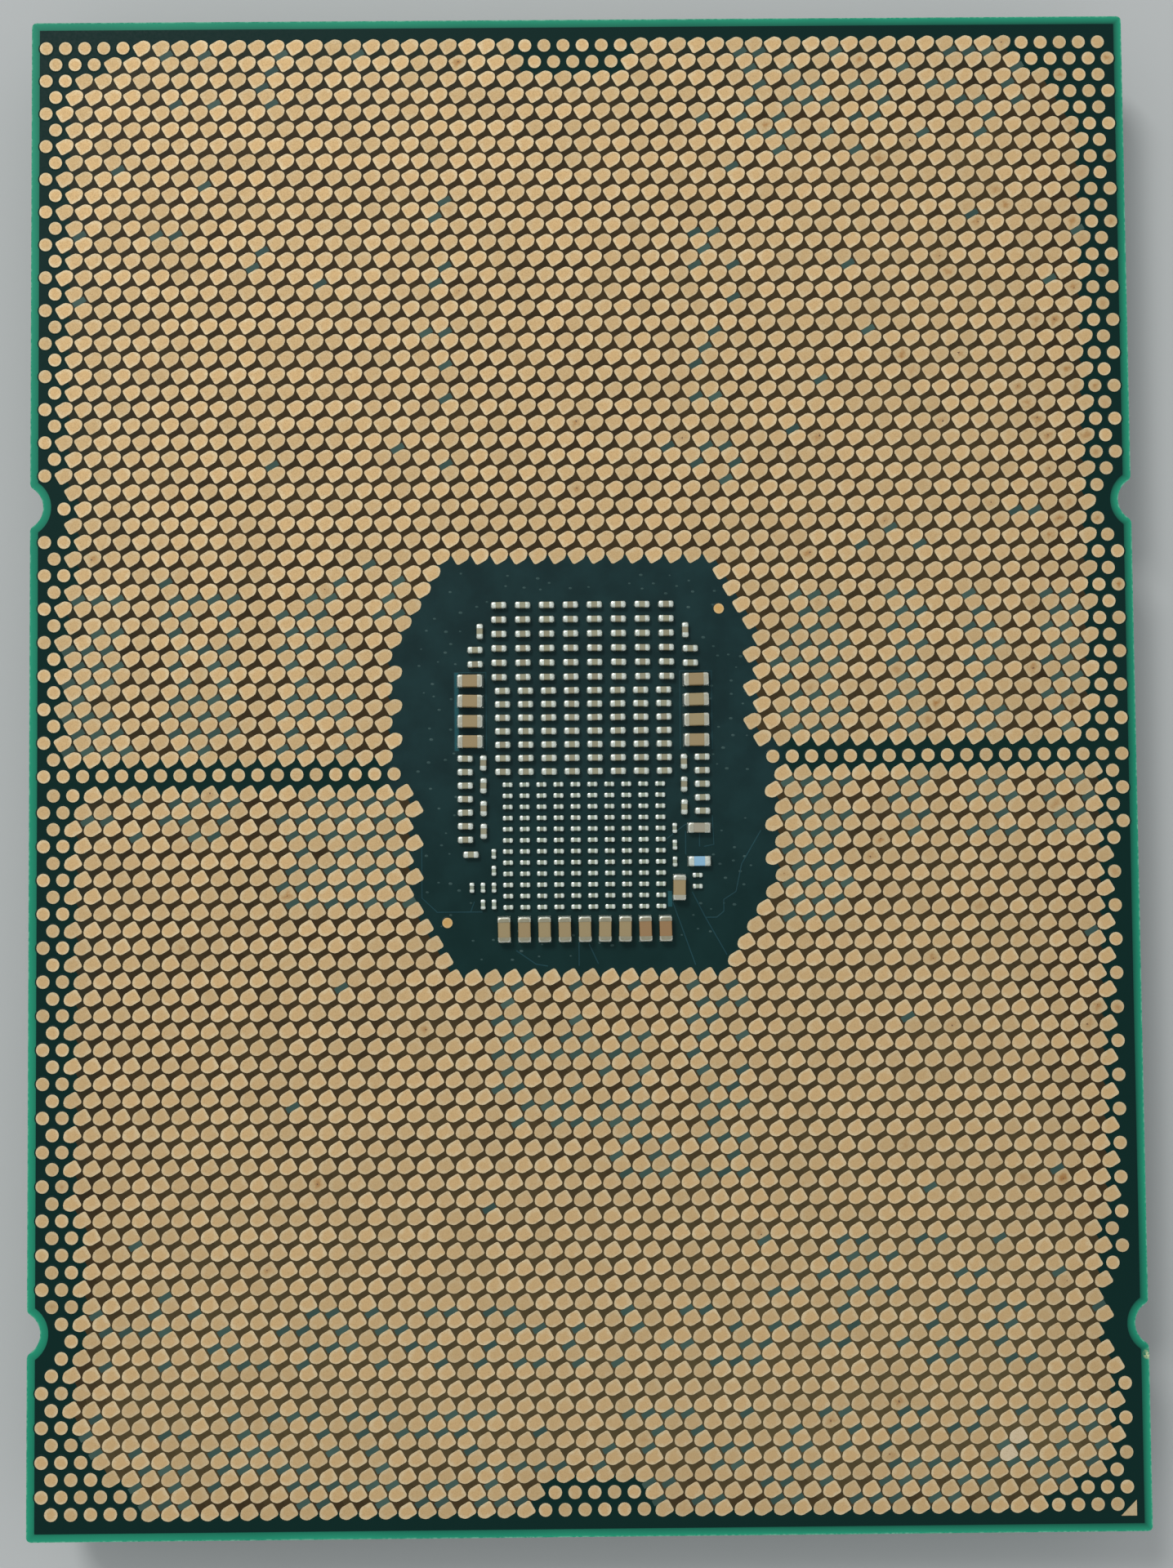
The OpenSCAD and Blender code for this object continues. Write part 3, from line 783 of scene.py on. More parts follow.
def new_tree(name: str, inputs: dict[str, str]) -> tuple[bpy.types.NodeTree, bpy.types.NodeOutputs]:
    """Starts a geometry tree with named inputs.

    Args:
        name: Name of the tree.
        inputs: Name and socket type of each input after the geometry.

    Returns:
        The tree and its inputs as sockets.
    """
    tree = bpy.data.node_groups.new(name, "GeometryNodeTree")
    tree.interface.new_socket("Geometry", in_out="OUTPUT", socket_type="NodeSocketGeometry")
    for label, kind in {"Geometry": "Geometry", **inputs}.items():
        tree.interface.new_socket(label, in_out="INPUT", socket_type="NodeSocket" + kind)
    return tree, tree.nodes.new("NodeGroupInput").outputs


def close_tree(tree: bpy.types.NodeTree, geometry: bpy.types.NodeSocket,
               material: bpy.types.NodeSocket) -> None:
    """Ends a geometry tree in real meshes with their material.

    Args:
        tree: The tree.
        geometry: What it has made.
        material: The material input.
    """
    real = add_node(tree, Kind.REALIZE, geometry)
    dressed = add_node(tree, Kind.SET_MATERIAL, {"Geometry": real, "Material": material})
    tree.links.new(dressed, tree.nodes.new("NodeGroupOutput").inputs[0])


@functools.cache
def stamp_tree() -> bpy.types.NodeTree:
    """Tree that repeats a shape on points, turned and tinted as the points say, with a little seeded scatter.

    Returns:
        The tree.
    """
    tree, given = new_tree("stamp_on_points", {
        "Pattern": "Object", "Turn Scatter": "Float", "Size Scatter": "Float", "Tint Scatter": "Float",
        "Seed": "Int", "Material": "Material",
    })
    add = functools.partial(add_node, tree)

    def scatter(amount: str, offset: float) -> bpy.types.NodeSocket:
        """Seeded random number within plus or minus an input.

        Args:
            amount: Name of the input.
            offset: What is added to the seed, so that draws differ.

        Returns:
            The number.
        """
        least = add(Kind.MATH, given[amount], -1.0, operation="MULTIPLY")
        seed = add(Kind.MATH, given["Seed"], offset, operation="ADD")
        return add(Kind.RANDOM, {LEAST: least, MOST: given[amount], SEED: seed}, **NUMBERS)

    def stated(name: str, change: bpy.types.NodeSocket) -> bpy.types.NodeSocket:
        """A number that the points carry, plus a change."""
        return add(Kind.MATH, add(Kind.READ, name, **NUMBERS), change, operation="ADD")

    size = add(Kind.MATH, scatter("Size Scatter", 2.0), 1.0, operation="ADD")
    placed = add(Kind.INSTANCES, {
        "Points": given["Geometry"],
        "Instance": add(Kind.OBJECT, given["Pattern"], True, out="Geometry"),
        "Rotation": add(Kind.JOIN_AXES, 0.0, 0.0, stated("turn", scatter("Turn Scatter", 1.0))),
        "Scale": add(Kind.JOIN_AXES, size, size, 1.0),
    })
    tint = {"Geometry": placed, "Name": "tint", "Value": stated("tint", scatter("Tint Scatter", 3.0))}
    close_tree(tree, add(Kind.STORE, tint, domain="INSTANCE", **NUMBERS), given["Material"])
    return tree


@functools.cache
def trace_tree() -> bpy.types.NodeTree:
    """Tree that runs a low, rounded ridge along loose edges.

    Returns:
        The tree.
    """
    tree, given = new_tree("ridge_on_edges", {
        "Width": "Float", "Height": "Float", "Level": "Float", "Material": "Material",
    })
    add = functools.partial(add_node, tree)
    sides = 8
    half = add(Kind.MATH, given["Width"], 0.5, operation="MULTIPLY")
    ridge = add(Kind.CURVE_TO_MESH, {
        "Curve": add(Kind.EDGES_TO_CURVE, given["Geometry"]),
        "Profile Curve": add(Kind.CIRCLE, sides, half),
        "Fill Caps": True,
    })
    axes = add(Kind.SPLIT_AXES, add(Kind.POSITION)).node.outputs
    above = add(Kind.MATH, axes["Z"], given["Level"], operation="SUBTRACT")
    share = add(Kind.MATH, given["Height"], half, operation="DIVIDE")
    low = add(Kind.MATH, above, share, given["Level"], operation="MULTIPLY_ADD")
    flat = add(Kind.JOIN_AXES, axes["X"], axes["Y"], low)
    close_tree(tree, add(Kind.SET_POSITION, {"Geometry": ridge, "Position": flat}), given["Material"])
    return tree


@functools.cache
def via_tree() -> bpy.types.NodeTree:
    """Tree that strews a shape over faces, no two closer than a set distance.

    Returns:
        The tree.
    """
    tree, given = new_tree("strewn_on_faces", {
        "Pattern": "Object", "Distance": "Float", "Density": "Float", "Least Size": "Float", "Seed": "Int",
        "Material": "Material",
    })
    add = functools.partial(add_node, tree)
    placed = add(Kind.INSTANCES, {
        "Points": add(Kind.POINTS_ON_FACES, {
            "Mesh": given["Geometry"], "Distance Min": given["Distance"], "Density Max": given["Density"],
            "Seed": given["Seed"],
        }, distribute_method="POISSON"),
        "Instance": add(Kind.OBJECT, given["Pattern"], True, out="Geometry"),
        "Scale": add(Kind.RANDOM, {LEAST: given["Least Size"], MOST: 1.0, SEED: given["Seed"]}, **NUMBERS),
    })
    close_tree(tree, placed, given["Material"])
    return tree


def grow(obj: bpy.types.Object, tree: bpy.types.NodeTree, inputs: dict[str, Any]) -> None:
    """Runs a geometry tree on an object and keeps the result as its plain mesh, with no modifier left.

    Args:
        obj: Object whose mesh the tree reads.
        tree: The tree to run.
        inputs: Values for the tree's named inputs; the shape that it repeats is deleted afterwards.
    """
    modifier = obj.modifiers.new(tree.name, "NODES")
    modifier.node_group = tree
    for item in tree.interface.items_tree:
        if item.in_out == "INPUT" and item.name in inputs:
            modifier[item.identifier] = inputs[item.name]
    bpy.context.view_layer.update()
    graph = bpy.context.evaluated_depsgraph_get()
    made = bpy.data.meshes.new_from_object(obj.evaluated_get(graph), depsgraph=graph)
    obj.modifiers.remove(modifier)
    spent = obj.data
    obj.data = made
    bpy.data.meshes.remove(spent)
    made.name = obj.name
    if "Pattern" in inputs:
        bpy.data.objects.remove(inputs["Pattern"])


def stamp(name: str, shape: bpy.types.Object, places: np.ndarray, material: bpy.types.Material,
          turns: Sequence[float] | float = 0.0, tints: Sequence[float] | float = 0.0,
          **scatter: float) -> bpy.types.Object:
    """Repeats a shape on a list of places, then deletes the shape.

    Args:
        name: Name of the new piece.
        shape: The shape to repeat.
        places: Where each copy goes, in metres.
        material: Finish of the piece.
        turns: Angle of each copy about Z, in degrees, or one for all.
        tints: Shade of each copy, or one for all.
        **scatter: Seeded scatter, by the tree's input names with underscores.

    Returns:
        The piece.
    """
    obj = mesh_object(name, places)
    for label, values in (("turn", np.radians(turns)), ("tint", tints)):
        carry(obj, label, np.broadcast_to(values, len(places)))
    inputs = {key.replace("_", " ").title(): value for key, value in scatter.items()}
    grow(obj, stamp_tree(), {"Pattern": shape, "Material": material, **inputs})
    return obj


class Slot(Enum):
    """Material slots of the part."""

    GOLD = "gold_plate"
    MASK = "solder_mask"
    TIN = "tin_plate"
    CERAMIC = "ceramic"
    BLUE_CERAMIC = "blue_ceramic"


def hand_in(piece: bpy.types.Object, slot: Slot, *replaced: str) -> None:
    """Fixes a finished piece to the part and reports it.

    Args:
        piece: The piece.
        slot: Material slot that its finish belongs to; not used.
        *replaced: Nodes that it stands for.
    """
    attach(piece, ROOT)
    if replaced:
        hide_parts(*replaced)
    LOG.info("%s: %d faces", piece.name, len(piece.data.polygons))


def dress(node: str, material: bpy.types.Material) -> None:
    """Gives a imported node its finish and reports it.

    Args:
        node: Name of the node.
        material: Its finish.
    """
    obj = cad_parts[node]
    if not obj.material_slots:
        obj.data.materials.append(material)
    for slot in obj.material_slots:
        slot.material = material
    LOG.info("%s: dressed in %s", node, material.name)


# Sub-assemblies


@dataclass(frozen=True)
class ContactWear:
    """How often a socket contact has rubbed a land: seldom, and most often towards the upper right."""

    least: float = 0.01
    most: float = 0.14
    right_mm: float = 27.0
    up_mm: float = 20.0
    lower_share: float = 0.2

    def share(self, places: np.ndarray) -> np.ndarray:
        """Share of lands that are rubbed.

        Args:
            places: Places of the lands, in metres.

        Returns:
            The share at each place.
        """
        right = np.clip(places[:, 0] / (self.right_mm * MM), 0, 1)
        up = np.clip(places[:, 1] / (self.up_mm * MM), self.lower_share, 1)
        return self.least + self.most * right ** 2 * up


class Field(Enum):
    """The two land fields, by the angle their lands point at: the lower is the upper turned half round."""

    UPPER = 30.0
    LOWER = 210.0

    @property
    def word(self) -> str:
        """The field's word in node names."""
        return self.name.lower()


@dataclass
class LandField:
    """Gold lands of one field: blunt bullets with a round nose and a squared tail, all pointing one way."""

    field: Field
    wear: ContactWear = ContactWear()
    half_width_mm: float = 0.348
    nose_mm: float = 0.466
    nose_flat: float = 0.074
    tail_mm: float = 0.416
    tail_radius_mm: float = 0.13
    edge_mm: float = 0.012
    nose_steps: int = 8
    tail_steps: int = 3
    worn_mm: tuple[float, float] = (21.7, -34.6)
    worn_reach_mm: float = 0.95
    fresh_tint: float = 0.6
    rubbed_tint: float = -0.55
    worn_tint: float = 1.1
    tint_scatter: float = 0.25
    mark_radii_mm: tuple[float, ...] = (0.045, 0.027, 0.0405, 0.0585, 0.0315, 0.0495, 0.027, 0.054)
    mark_rise_mm: float = 0.003
    mark_sunk_mm: float = 0.001
    mark_top: float = 0.8
    mark_drift_mm: float = 0.06
    mark_share: float = 0.55
    mark_scatter: float = 0.45

    def outline(self) -> Outline:
        """One land's outline.

        Returns:
            The outline in metres, nose along +X, anticlockwise.
        """
        r, k = self.half_width_mm * MM, self.tail_radius_mm * MM
        nose_x = self.nose_mm * MM - r
        tail_x = k - self.tail_mm * MM
        round_nose = arc((0.0, 0.0), r, -90, 90, self.nose_steps)
        flats = [1 - self.nose_flat * math.sin(2 * math.atan2(y, x)) ** 2 for x, y in round_nose]
        points = [(nose_x + x * flat, y * flat) for (x, y), flat in zip(round_nose, flats)]
        points += arc((tail_x, r - k), k, 90, 180, self.tail_steps)
        points += arc((tail_x, k - r), k, 180, 270, self.tail_steps)
        return points

    def nodes(self) -> list[str]:
        """Names of the field's nodes."""
        quarters = [(side, band) for side in ("left", "right") for band in ("outer", "inner")]
        return [f"{self.field.word}_{side}_{band}_lands" for side, band in quarters]

    def build(self, gold: bpy.types.Material, stain: bpy.types.Material) -> np.ndarray:
        """Builds the lands, one piece for each node, and the field's contact marks.

        Args:
            gold: Finish of the lands.
            stain: Finish of the marks.

        Returns:
            The lands' feet.
        """
        draw = np.random.default_rng(int(self.field.value))
        feet, marked = [], []
        for seed, node in enumerate(self.nodes()):
            found = islands(node)
            places, thickness = found.feet, found.size[0, 2]
            rubbed = draw.random(len(places)) < self.wear.share(places)
            worn = np.hypot(*(places[:, :2] - np.array(self.worn_mm) * MM).T) < self.worn_reach_mm * MM
            tints = np.where(worn, self.worn_tint, np.where(rubbed, self.rubbed_tint, self.fresh_tint))
            shape = plate("land_shape", self.outline(), thickness, self.edge_mm * MM)
            piece = stamp(node.replace("lands", "land_plates"), shape, places, gold, self.field.value, tints,
                          tint_scatter=self.tint_scatter, seed=seed)
            hand_in(piece, Slot.GOLD, node)
            feet.append(places)
            marked.append(places[rubbed] + (0.0, 0.0, thickness))
        self.marks(np.concatenate(marked), stain, draw)
        return np.concatenate(feet)

    def marks(self, tops: np.ndarray, stain: bpy.types.Material, draw: np.random.Generator) -> None:
        """Dark specks that socket contacts have left on some of the lands they rubbed.

        Args:
            tops: Middles of the rubbed lands' upper faces.
            stain: Finish of the specks.
            draw: Source of the scatter.
        """
        chosen = tops[draw.random(len(tops)) < self.mark_share].copy()
        chosen[:, :2] += draw.normal(0.0, self.mark_drift_mm * MM, (len(chosen), 2))
        chosen[:, 2] -= self.mark_sunk_mm * MM
        spokes = circle(MM, len(self.mark_radii_mm))
        blot = [(x * r, y * r) for (x, y), r in zip(spokes, self.mark_radii_mm)]
        top = (scaled(blot, self.mark_top), self.mark_rise_mm * MM)
        shape = pattern("mark_shape", stacked([(blot, 0.0), top]))
        turns = draw.uniform(0, 360, len(chosen))
        piece = stamp(f"{self.field.word}_contact_marks", shape, chosen, stain, turns,
                      size_scatter=self.mark_scatter)
        hand_in(piece, Slot.GOLD)


@dataclass
class RoundLands:
    """Round gold lands along the rim and between the fields, each in a slightly raised mask opening."""

    node: str
    wear: ContactWear = ContactWear()
    segments: int = 20
    edge_mm: float = 0.012
    ring_mm: float = 0.07
    ring_rise_mm: float = 0.014
    fresh_tint: float = 0.6
    rubbed_tint: float = -0.6
    tint_scatter: float = 0.25
    seed: int = 11

    def build(self, gold: bpy.types.Material, mask: bpy.types.Material) -> None:
        """Builds the lands and their openings' rims.

        Args:
            gold: Finish of the lands.
            mask: Finish of the rims.
        """
        found = islands(self.node)
        places = found.feet
        radius, thickness = found.size[0, 0] / 2, found.size[0, 2]
        shape = plate("round_shape", circle(radius, self.segments), thickness, self.edge_mm * MM)
        rubbed = np.random.default_rng(len(places)).random(len(places)) < self.wear.share(places)
        tints = np.where(rubbed, self.rubbed_tint, self.fresh_tint)
        piece = stamp(self.node + "_plated", shape, places, gold, tints=tints, tint_scatter=self.tint_scatter,
                      seed=self.seed)
        hand_in(piece, Slot.GOLD, self.node)
        hand_in(stamp(self.node + "_openings", self.ring(radius), places, mask), Slot.MASK)

    def ring(self, radius: float) -> bpy.types.Object:
        """Raised rim of one mask opening.

        Args:
            radius: Radius of the land inside it.

        Returns:
            The shape to repeat.
        """
        width, rise = self.ring_mm * MM, self.ring_rise_mm * MM
        section = [(radius, 0.0), (radius + width, 0.0), (radius + width / 2, rise), (radius, rise)]
        vertices, faces = [], []
        for i in range(self.segments):
            a = math.tau * i / self.segments
            vertices += [(r * math.cos(a), r * math.sin(a), z) for r, z in section]
            here, there = i * len(section), (i + 1) % self.segments * len(section)
            for j in range(len(section)):
                k = (j + 1) % len(section)
                faces.append([here + j, there + j, there + k, here + k])
        obj = pattern("opening_shape", (vertices, faces))
        face_outwards(obj)
        return obj


@dataclass(frozen=True)
class Patch:
    """A stretch of board, in millimetres, and the share of its gaps where copper joins neighbouring lands."""

    x: tuple[float, float]
    y: tuple[float, float]
    share: float


def copper_patches() -> list[Patch]:
    """Stretches of joined copper: strips beside the window, a net below it, and loose links at both ends.

    Returns:
        The stretches.
    """
    above, below = (0.9, 8.8), (-3.9, -0.7)
    columns = {
        above: [((-26.8, -23.6), 0.8), ((-21.7, -17.7), 0.8), ((-15.6, -11.6), 0.75), ((10.4, 13.8), 0.9),
                ((15.4, 17.7), 0.9), ((19.4, 21.7), 0.9), ((23.3, 25.6), 0.9)],
        below: [((-26.8, -22.7), 0.7), ((-21.7, -17.5), 0.75), ((15.4, 17.7), 0.9), ((19.4, 22.0), 0.8),
                ((23.3, 26.2), 0.85)],
    }
    strips = [Patch(x, y, share) for y, spans in columns.items() for x, share in spans]
    corners = [Patch((-15.6, -9.0), (-7.2, -0.7), 0.9), Patch((10.4, 13.8), (-7.9, -0.7), 0.9),
               Patch((-11.8, -9.4), (7.4, 10.6), 0.6)]
    net = [Patch((-4.8, -3.2), (-17.0, -11.2), 0.9), Patch((-4.0, 3.2), (-14.9, -13.6), 0.9),
           Patch((-0.7, 0.4), (-17.0, -11.2), 0.8), Patch((2.2, 3.3), (-17.5, -11.2), 0.8),
           Patch((-3.6, 2.6), (-18.3, -17.0), 0.9), Patch((1.0, 4.8), (-21.4, -18.3), 0.6),
           Patch((5.0, 8.4), (-20.8, -11.2), 0.7)]
    links = [Patch((8.4, 23.2), (31.4, 37.5), 0.33), Patch((-25.5, -9.5), (35.5, 37.5), 0.22),
             Patch((-26.8, -14.0), (26.0, 35.5), 0.08), Patch((-8.0, -6.0), (14.0, 33.0), 0.35),
             Patch((5.8, 8.4), (14.5, 34.0), 0.3), Patch((8.8, 21.0), (-27.6, -24.0), 0.45),
             Patch((-25.0, 24.0), (-30.4, -27.3), 0.4), Patch((-26.8, 26.8), (-33.8, -32.4), 0.5),
             Patch((-26.8, 26.8), (-37.6, -34.2), 0.45)]
    return strips + corners + net + links


@dataclass
class MaskDetail:
    """What shows through the mask: bare gaps between the lands, copper bridges, vias, traces and pads."""

    pitch_mm: float = 0.9906
    same_place_mm: float = 0.05
    cell_rise_mm: float = 0.006
    cell_overlap: float = 1.01
    rim_tint: float = 0.9
    rim_from_mm: float = 0.6
    rim_fade_mm: float = 2.2
    right_tint: float = 0.25
    down_tint: float = 0.75
    cell_scatter: float = 0.06
    cell_seed: int = 3
    bridge_rise_mm: float = 0.011
    bridge_l_mm: float = 0.7
    bridge_w_mm: float = 0.3
    bridge_across_deg: float = 120.0
    bridge_tint: float = 0.4
    bridge_scatter: float = 0.4
    bridge_seed: int = 5
    scattered_share: float = 0.012
    trace_w_mm: float = 0.06
    trace_rise_mm: float = 0.012
    frame_border_mm: float = 0.13
    via_d_mm: float = 0.21
    via_segments: int = 10
    via_seed: int = 4
    via_corner_deg: float = 30.0
    via_squash: float = 0.65
    via_top: float = 0.6
    via_least: float = 0.5
    via_rise_mm: float = 0.01
    via_distance_mm: float = 0.52
    via_per_mm2: float = 1.8
    via_outer_mm: tuple[float, float, float] = (8.5, 6.3, 9.9)
    via_inner_mm: tuple[float, float, float] = (6.5, 4.9, 8.4)
    pad_rise_mm: float = 0.008
    pad_edge_mm: float = 0.01
    strip_w_mm: float = 0.22
    spot_mm: tuple[float, float, float, float] = (-0.25, -0.3, -0.03, 0.5)

    def level(self) -> float:
        """Height of the mask's upper face."""
        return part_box("land_side_mask")[1].z

    def toward(self, angle_deg: float) -> np.ndarray:
        """Step from a land to its neighbour in one direction, in metres."""
        angle = math.radians(angle_deg)
        return self.pitch_mm * MM * np.array([math.cos(angle), math.sin(angle)])

    def joined(self, feet: np.ndarray, angle_deg: float) -> np.ndarray:
        """Tells for each land of a field whether it has a neighbour in one direction."""
        off = np.abs((feet[:, :2] + self.toward(angle_deg))[:, None, :] - feet[None, :, :2])
        return off.max(axis=2).min(axis=1) < self.same_place_mm * MM

    def cells(self, feet: np.ndarray, name: str, mask: bpy.types.Material) -> None:
        """Bare dielectric between the lands, as triangles that each join three neighbours.

        The mask over it is thicker towards the rim and thinner towards the lower right.

        Args:
            feet: Feet of the lands.
            name: Name of the piece.
            mask: Finish of mask over bare dielectric.
        """
        corners = arc((0, 0), self.cell_overlap * self.pitch_mm * MM / math.sqrt(3), 90, 450, 3)[:-1]
        shape = pattern("cell_shape", stacked([(corners, 0.0), (corners, self.cell_rise_mm * MM)]))
        middles, turns = [], []
        for turn, angle in ((0.0, 60.0), (180.0, -60.0)):
            firsts = feet[self.joined(feet, 0.0) & self.joined(feet, angle)].copy()
            firsts[:, :2] += (self.toward(0.0) + self.toward(angle)) / 3
            middles.append(firsts)
            turns += [turn] * len(firsts)
        places = np.concatenate(middles)
        far = np.array(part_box("land_side_mask")[1])[:2]
        inset = (far - np.abs(places[:, :2])).min(axis=1) - self.rim_from_mm * MM
        right, down = np.clip(places[:, :2] / far * (1, -1), 0, 1).T
        tints = self.rim_tint * np.exp(-np.maximum(inset, 0) / (self.rim_fade_mm * MM))
        tints -= self.right_tint * right + self.down_tint * down ** 2
        piece = stamp(name, shape, places, mask, turns, tints, tint_scatter=self.cell_scatter,
                      seed=self.cell_seed)
        hand_in(piece, Slot.MASK)

    def bridges(self, feet: np.ndarray, name: str, mask: bpy.types.Material, seed: int) -> None:
        """Copper that joins lands under the mask, each with its neighbour up and to the left.

        Args:
            feet: Feet of one field's lands.
            name: Name of the piece.
            mask: Finish of mask over copper.
            seed: Seed of the draw.
        """
        middles = feet[self.joined(feet, self.bridge_across_deg)].copy()
        middles[:, :2] += self.toward(self.bridge_across_deg) / 2
        x, y = middles[:, 0] / MM, middles[:, 1] / MM
        share = np.full(len(middles), self.scattered_share)
        for patch in copper_patches():
            inside = (x > patch.x[0]) & (x < patch.x[1]) & (y > patch.y[0]) & (y < patch.y[1])
            share[inside] = np.maximum(share[inside], patch.share)
        chosen = middles[np.random.default_rng(seed).random(len(middles)) < share]
        strip = rectangle(self.bridge_l_mm * MM / 2, self.bridge_w_mm * MM / 2)
        shape = pattern("bridge_shape", stacked([(strip, 0.0), (strip, self.bridge_rise_mm * MM)]))
        piece = stamp(name, shape, chosen, mask, self.bridge_across_deg - 90, self.bridge_tint,
                      tint_scatter=self.bridge_scatter, seed=self.bridge_seed)
        hand_in(piece, Slot.MASK)

    def vias(self, mask: bpy.types.Material) -> None:
        """Small domes where plated holes lie under the mask, strewn over a band round the window's chips.

        Args:
            mask: Finish of the domes.
        """
        points = []
        for half_w, end_w, half_l in (self.via_outer_mm, self.via_inner_mm):
            slope = (half_w - end_w) / math.tan(math.radians(self.via_corner_deg))
            quarter = [(half_w, half_l - slope), (end_w, half_l)]
            half = quarter + [(-x, y) for x, y in quarter[::-1]]
            points += [(x * MM, y * MM, self.level()) for x, y in half + [(-x, -y) for x, y in half]]
        count = len(points) // 2
        band = [(i, (i + 1) % count, count + (i + 1) % count, count + i) for i in range(count)]
        obj = mesh_object("window_vias", points, band)
        foot = [(x, self.via_squash * y) for x, y in circle(self.via_d_mm * MM / 2, self.via_segments)]
        top = (scaled(foot, self.via_top), self.via_rise_mm * MM)
        shape = pattern("via_shape", stacked([(foot, 0.0), top]))
        grow(obj, via_tree(), {
            "Pattern": shape, "Distance": self.via_distance_mm * MM, "Density": self.via_per_mm2 / MM ** 2,
            "Least Size": self.via_least, "Seed": self.via_seed, "Material": mask,
        })
        hand_in(obj, Slot.MASK)

    def bank_box(self, side: int) -> tuple[float, float, float, float]:
        """Frame round one side bank.

        Args:
            side: -1 for the left bank and 1 for the right one.

        Returns:
            The frame's left, lower, right and upper sides, in millimetres.
        """
        bank = islands("side_bank_ends")
        own = bank.centre[:, 0] * side > 0
        low = bank.low[own].min(axis=0) / MM - self.frame_border_mm
        high = bank.high[own].max(axis=0) / MM + self.frame_border_mm
        return low[0], low[1], high[0], high[1]

    def traces(self, mask: bpy.types.Material) -> None:
        """Fine copper traces that show through the mask of the window, with places in millimetres.

        Args:
            mask: Finish of mask over copper.
        """
        routes = [
            [(-8.27, -3.8), (-8.27, -6.7), (-7.5, -7.43), (-5.2, -7.43)],
            [(-5.6, -6.9), (-5.8, -7.43)],
            [(9.0, -3.4), (8.0, -5.1), (7.7, -6.5), (7.07, -6.9), (7.07, -7.5), (6.7, -7.8), (6.13, -7.8)],
            [(4.47, -7.0), (5.6, -10.2)],
            [(5.47, -6.5), (6.13, -7.8), (7.2, -9.7)],
            [(-0.31, -9.0), (-0.31, -10.2)],
            [(0.2, -9.1), (0.67, -10.1)],
            [(-3.5, -9.4), (-2.5, -10.1), (-1.9, -10.2)],
            [(4.2, -3.8), (5.07, -3.13), (5.3, -3.0)],
            [(5.16, -3.4), (5.16, -4.6)],
            [(6.53, -2.6), (6.6, -4.1), (6.1, -4.2)],
            [(5.87, -3.4), (5.87, -4.2)],
        ]
        for side in (-1, 1):
            x0, y0, x1, y1 = self.bank_box(side)
            routes.append([(x0, y0), (x0, y1), (x1, y1), (x1, y0)])
        vertices, edges = [], []
        for route in routes:
            edges += [(len(vertices) + i, len(vertices) + i + 1) for i in range(len(route) - 1)]
            vertices += [(x * MM, y * MM, self.level()) for x, y in route]
        obj = mesh_object("window_traces", vertices, edges=edges)
        grow(obj, trace_tree(), {"Width": self.trace_w_mm * MM, "Height": self.trace_rise_mm * MM,
                                 "Level": self.level(), "Material": mask})
        hand_in(obj, Slot.MASK)

    def pads(self, mask: bpy.types.Material) -> None:
        """Copper areas that show as paler patches: a strip beside the left bank and a spot by a single chip.

        Args:
            mask: Finish of mask over copper.
        """
        x0, y0, _, y1 = self.bank_box(-1)
        corner = np.tile(islands("single_ends").low[:, :2].min(axis=0) / MM, 2)
        solids = []
        for left, low, right, high in ((x0, y0, x0 + self.strip_w_mm, y1), corner + self.spot_mm):
            outline = [(x * MM, y * MM) for x, y in ((left, low), (right, low), (right, high), (left, high))]
            top = self.level() + self.pad_rise_mm * MM
            solids.append(stacked([(outline, self.level()), (grown(outline, -self.pad_edge_mm * MM), top)]))
        piece = pattern("window_pads", *solids)
        piece.data.materials.append(mask)
        hand_in(piece, Slot.MASK)


@dataclass
class LandSide:
    """The land side: the mask and what shows through it, the land fields, the round lands and the marks.

    Over the copper plane the mask is a deep blue-green, over bare dielectric brown, and over bridges, traces,
    pads and vias a paler teal. Thin gold over copper is yellower than the lands, and stains are brown.
    """

    gold: GoldPlate = GoldPlate()
    thin_gold: GoldPlate = GoldPlate("thin_gold_over_copper", "#cba568", "#d4b685", "#b8955e", roughness=0.6)
    stain: Cured = Cured("contact_stain", "#6f5030", "#553a22", roughness=0.6, blotch_mm=0.05)
    # Its outer colour also darkens the lower end of the window, as painted shade.
    plane: SolderMask = SolderMask("mask_over_copper_plane", "#0d2728", "#143031", outer="#092723")
    bare: SolderMask = SolderMask("mask_over_dielectric", "#332818", "#3e311d", other="#152a24",
                                  thin="#5f5438", blotch_mm=2.5, specular=0.06)
    bridge: SolderMask = SolderMask("mask_over_copper_bridge", "#3a5048", "#445a51", other="#2f443e")
    trace: SolderMask = SolderMask("mask_over_trace", "#1a3b40", "#1f4348")
    pad: SolderMask = SolderMask("mask_over_pad", "#1c4a50", "#235459")
    via: SolderMask = SolderMask("mask_over_via", "#2a4240", "#3b5250")

    def build(self) -> None:
        """Builds every piece of the land side."""
        gold, stain, plane = self.gold.material(), self.stain.material(), self.plane.material()
        bare, bridge = self.bare.material(), self.bridge.material()
        detail = MaskDetail()
        for seed, field in enumerate(Field):
            feet = LandField(field).build(gold, stain)
            detail.cells(feet, f"{field.word}_field_gaps", bare)
            detail.bridges(feet, f"{field.word}_field_bridges", bridge, seed)
        RoundLands("rim_lands").build(gold, plane)
        RoundLands("divider_lands").build(gold, plane)
        RoundLands("fiducials").build(self.thin_gold.material(), plane)
        dress("land_side_mask", plane)
        dress("pin_one_marks", gold)
        detail.vias(self.via.material())
        detail.traces(self.trace.material())
        detail.pads(self.pad.material())


@dataclass(frozen=True)
class ChipSize:
    """Sizes of one kind of chip component, in millimetres: over its ends, and the length of each end."""

    length: float
    width: float
    height: float
    end: float


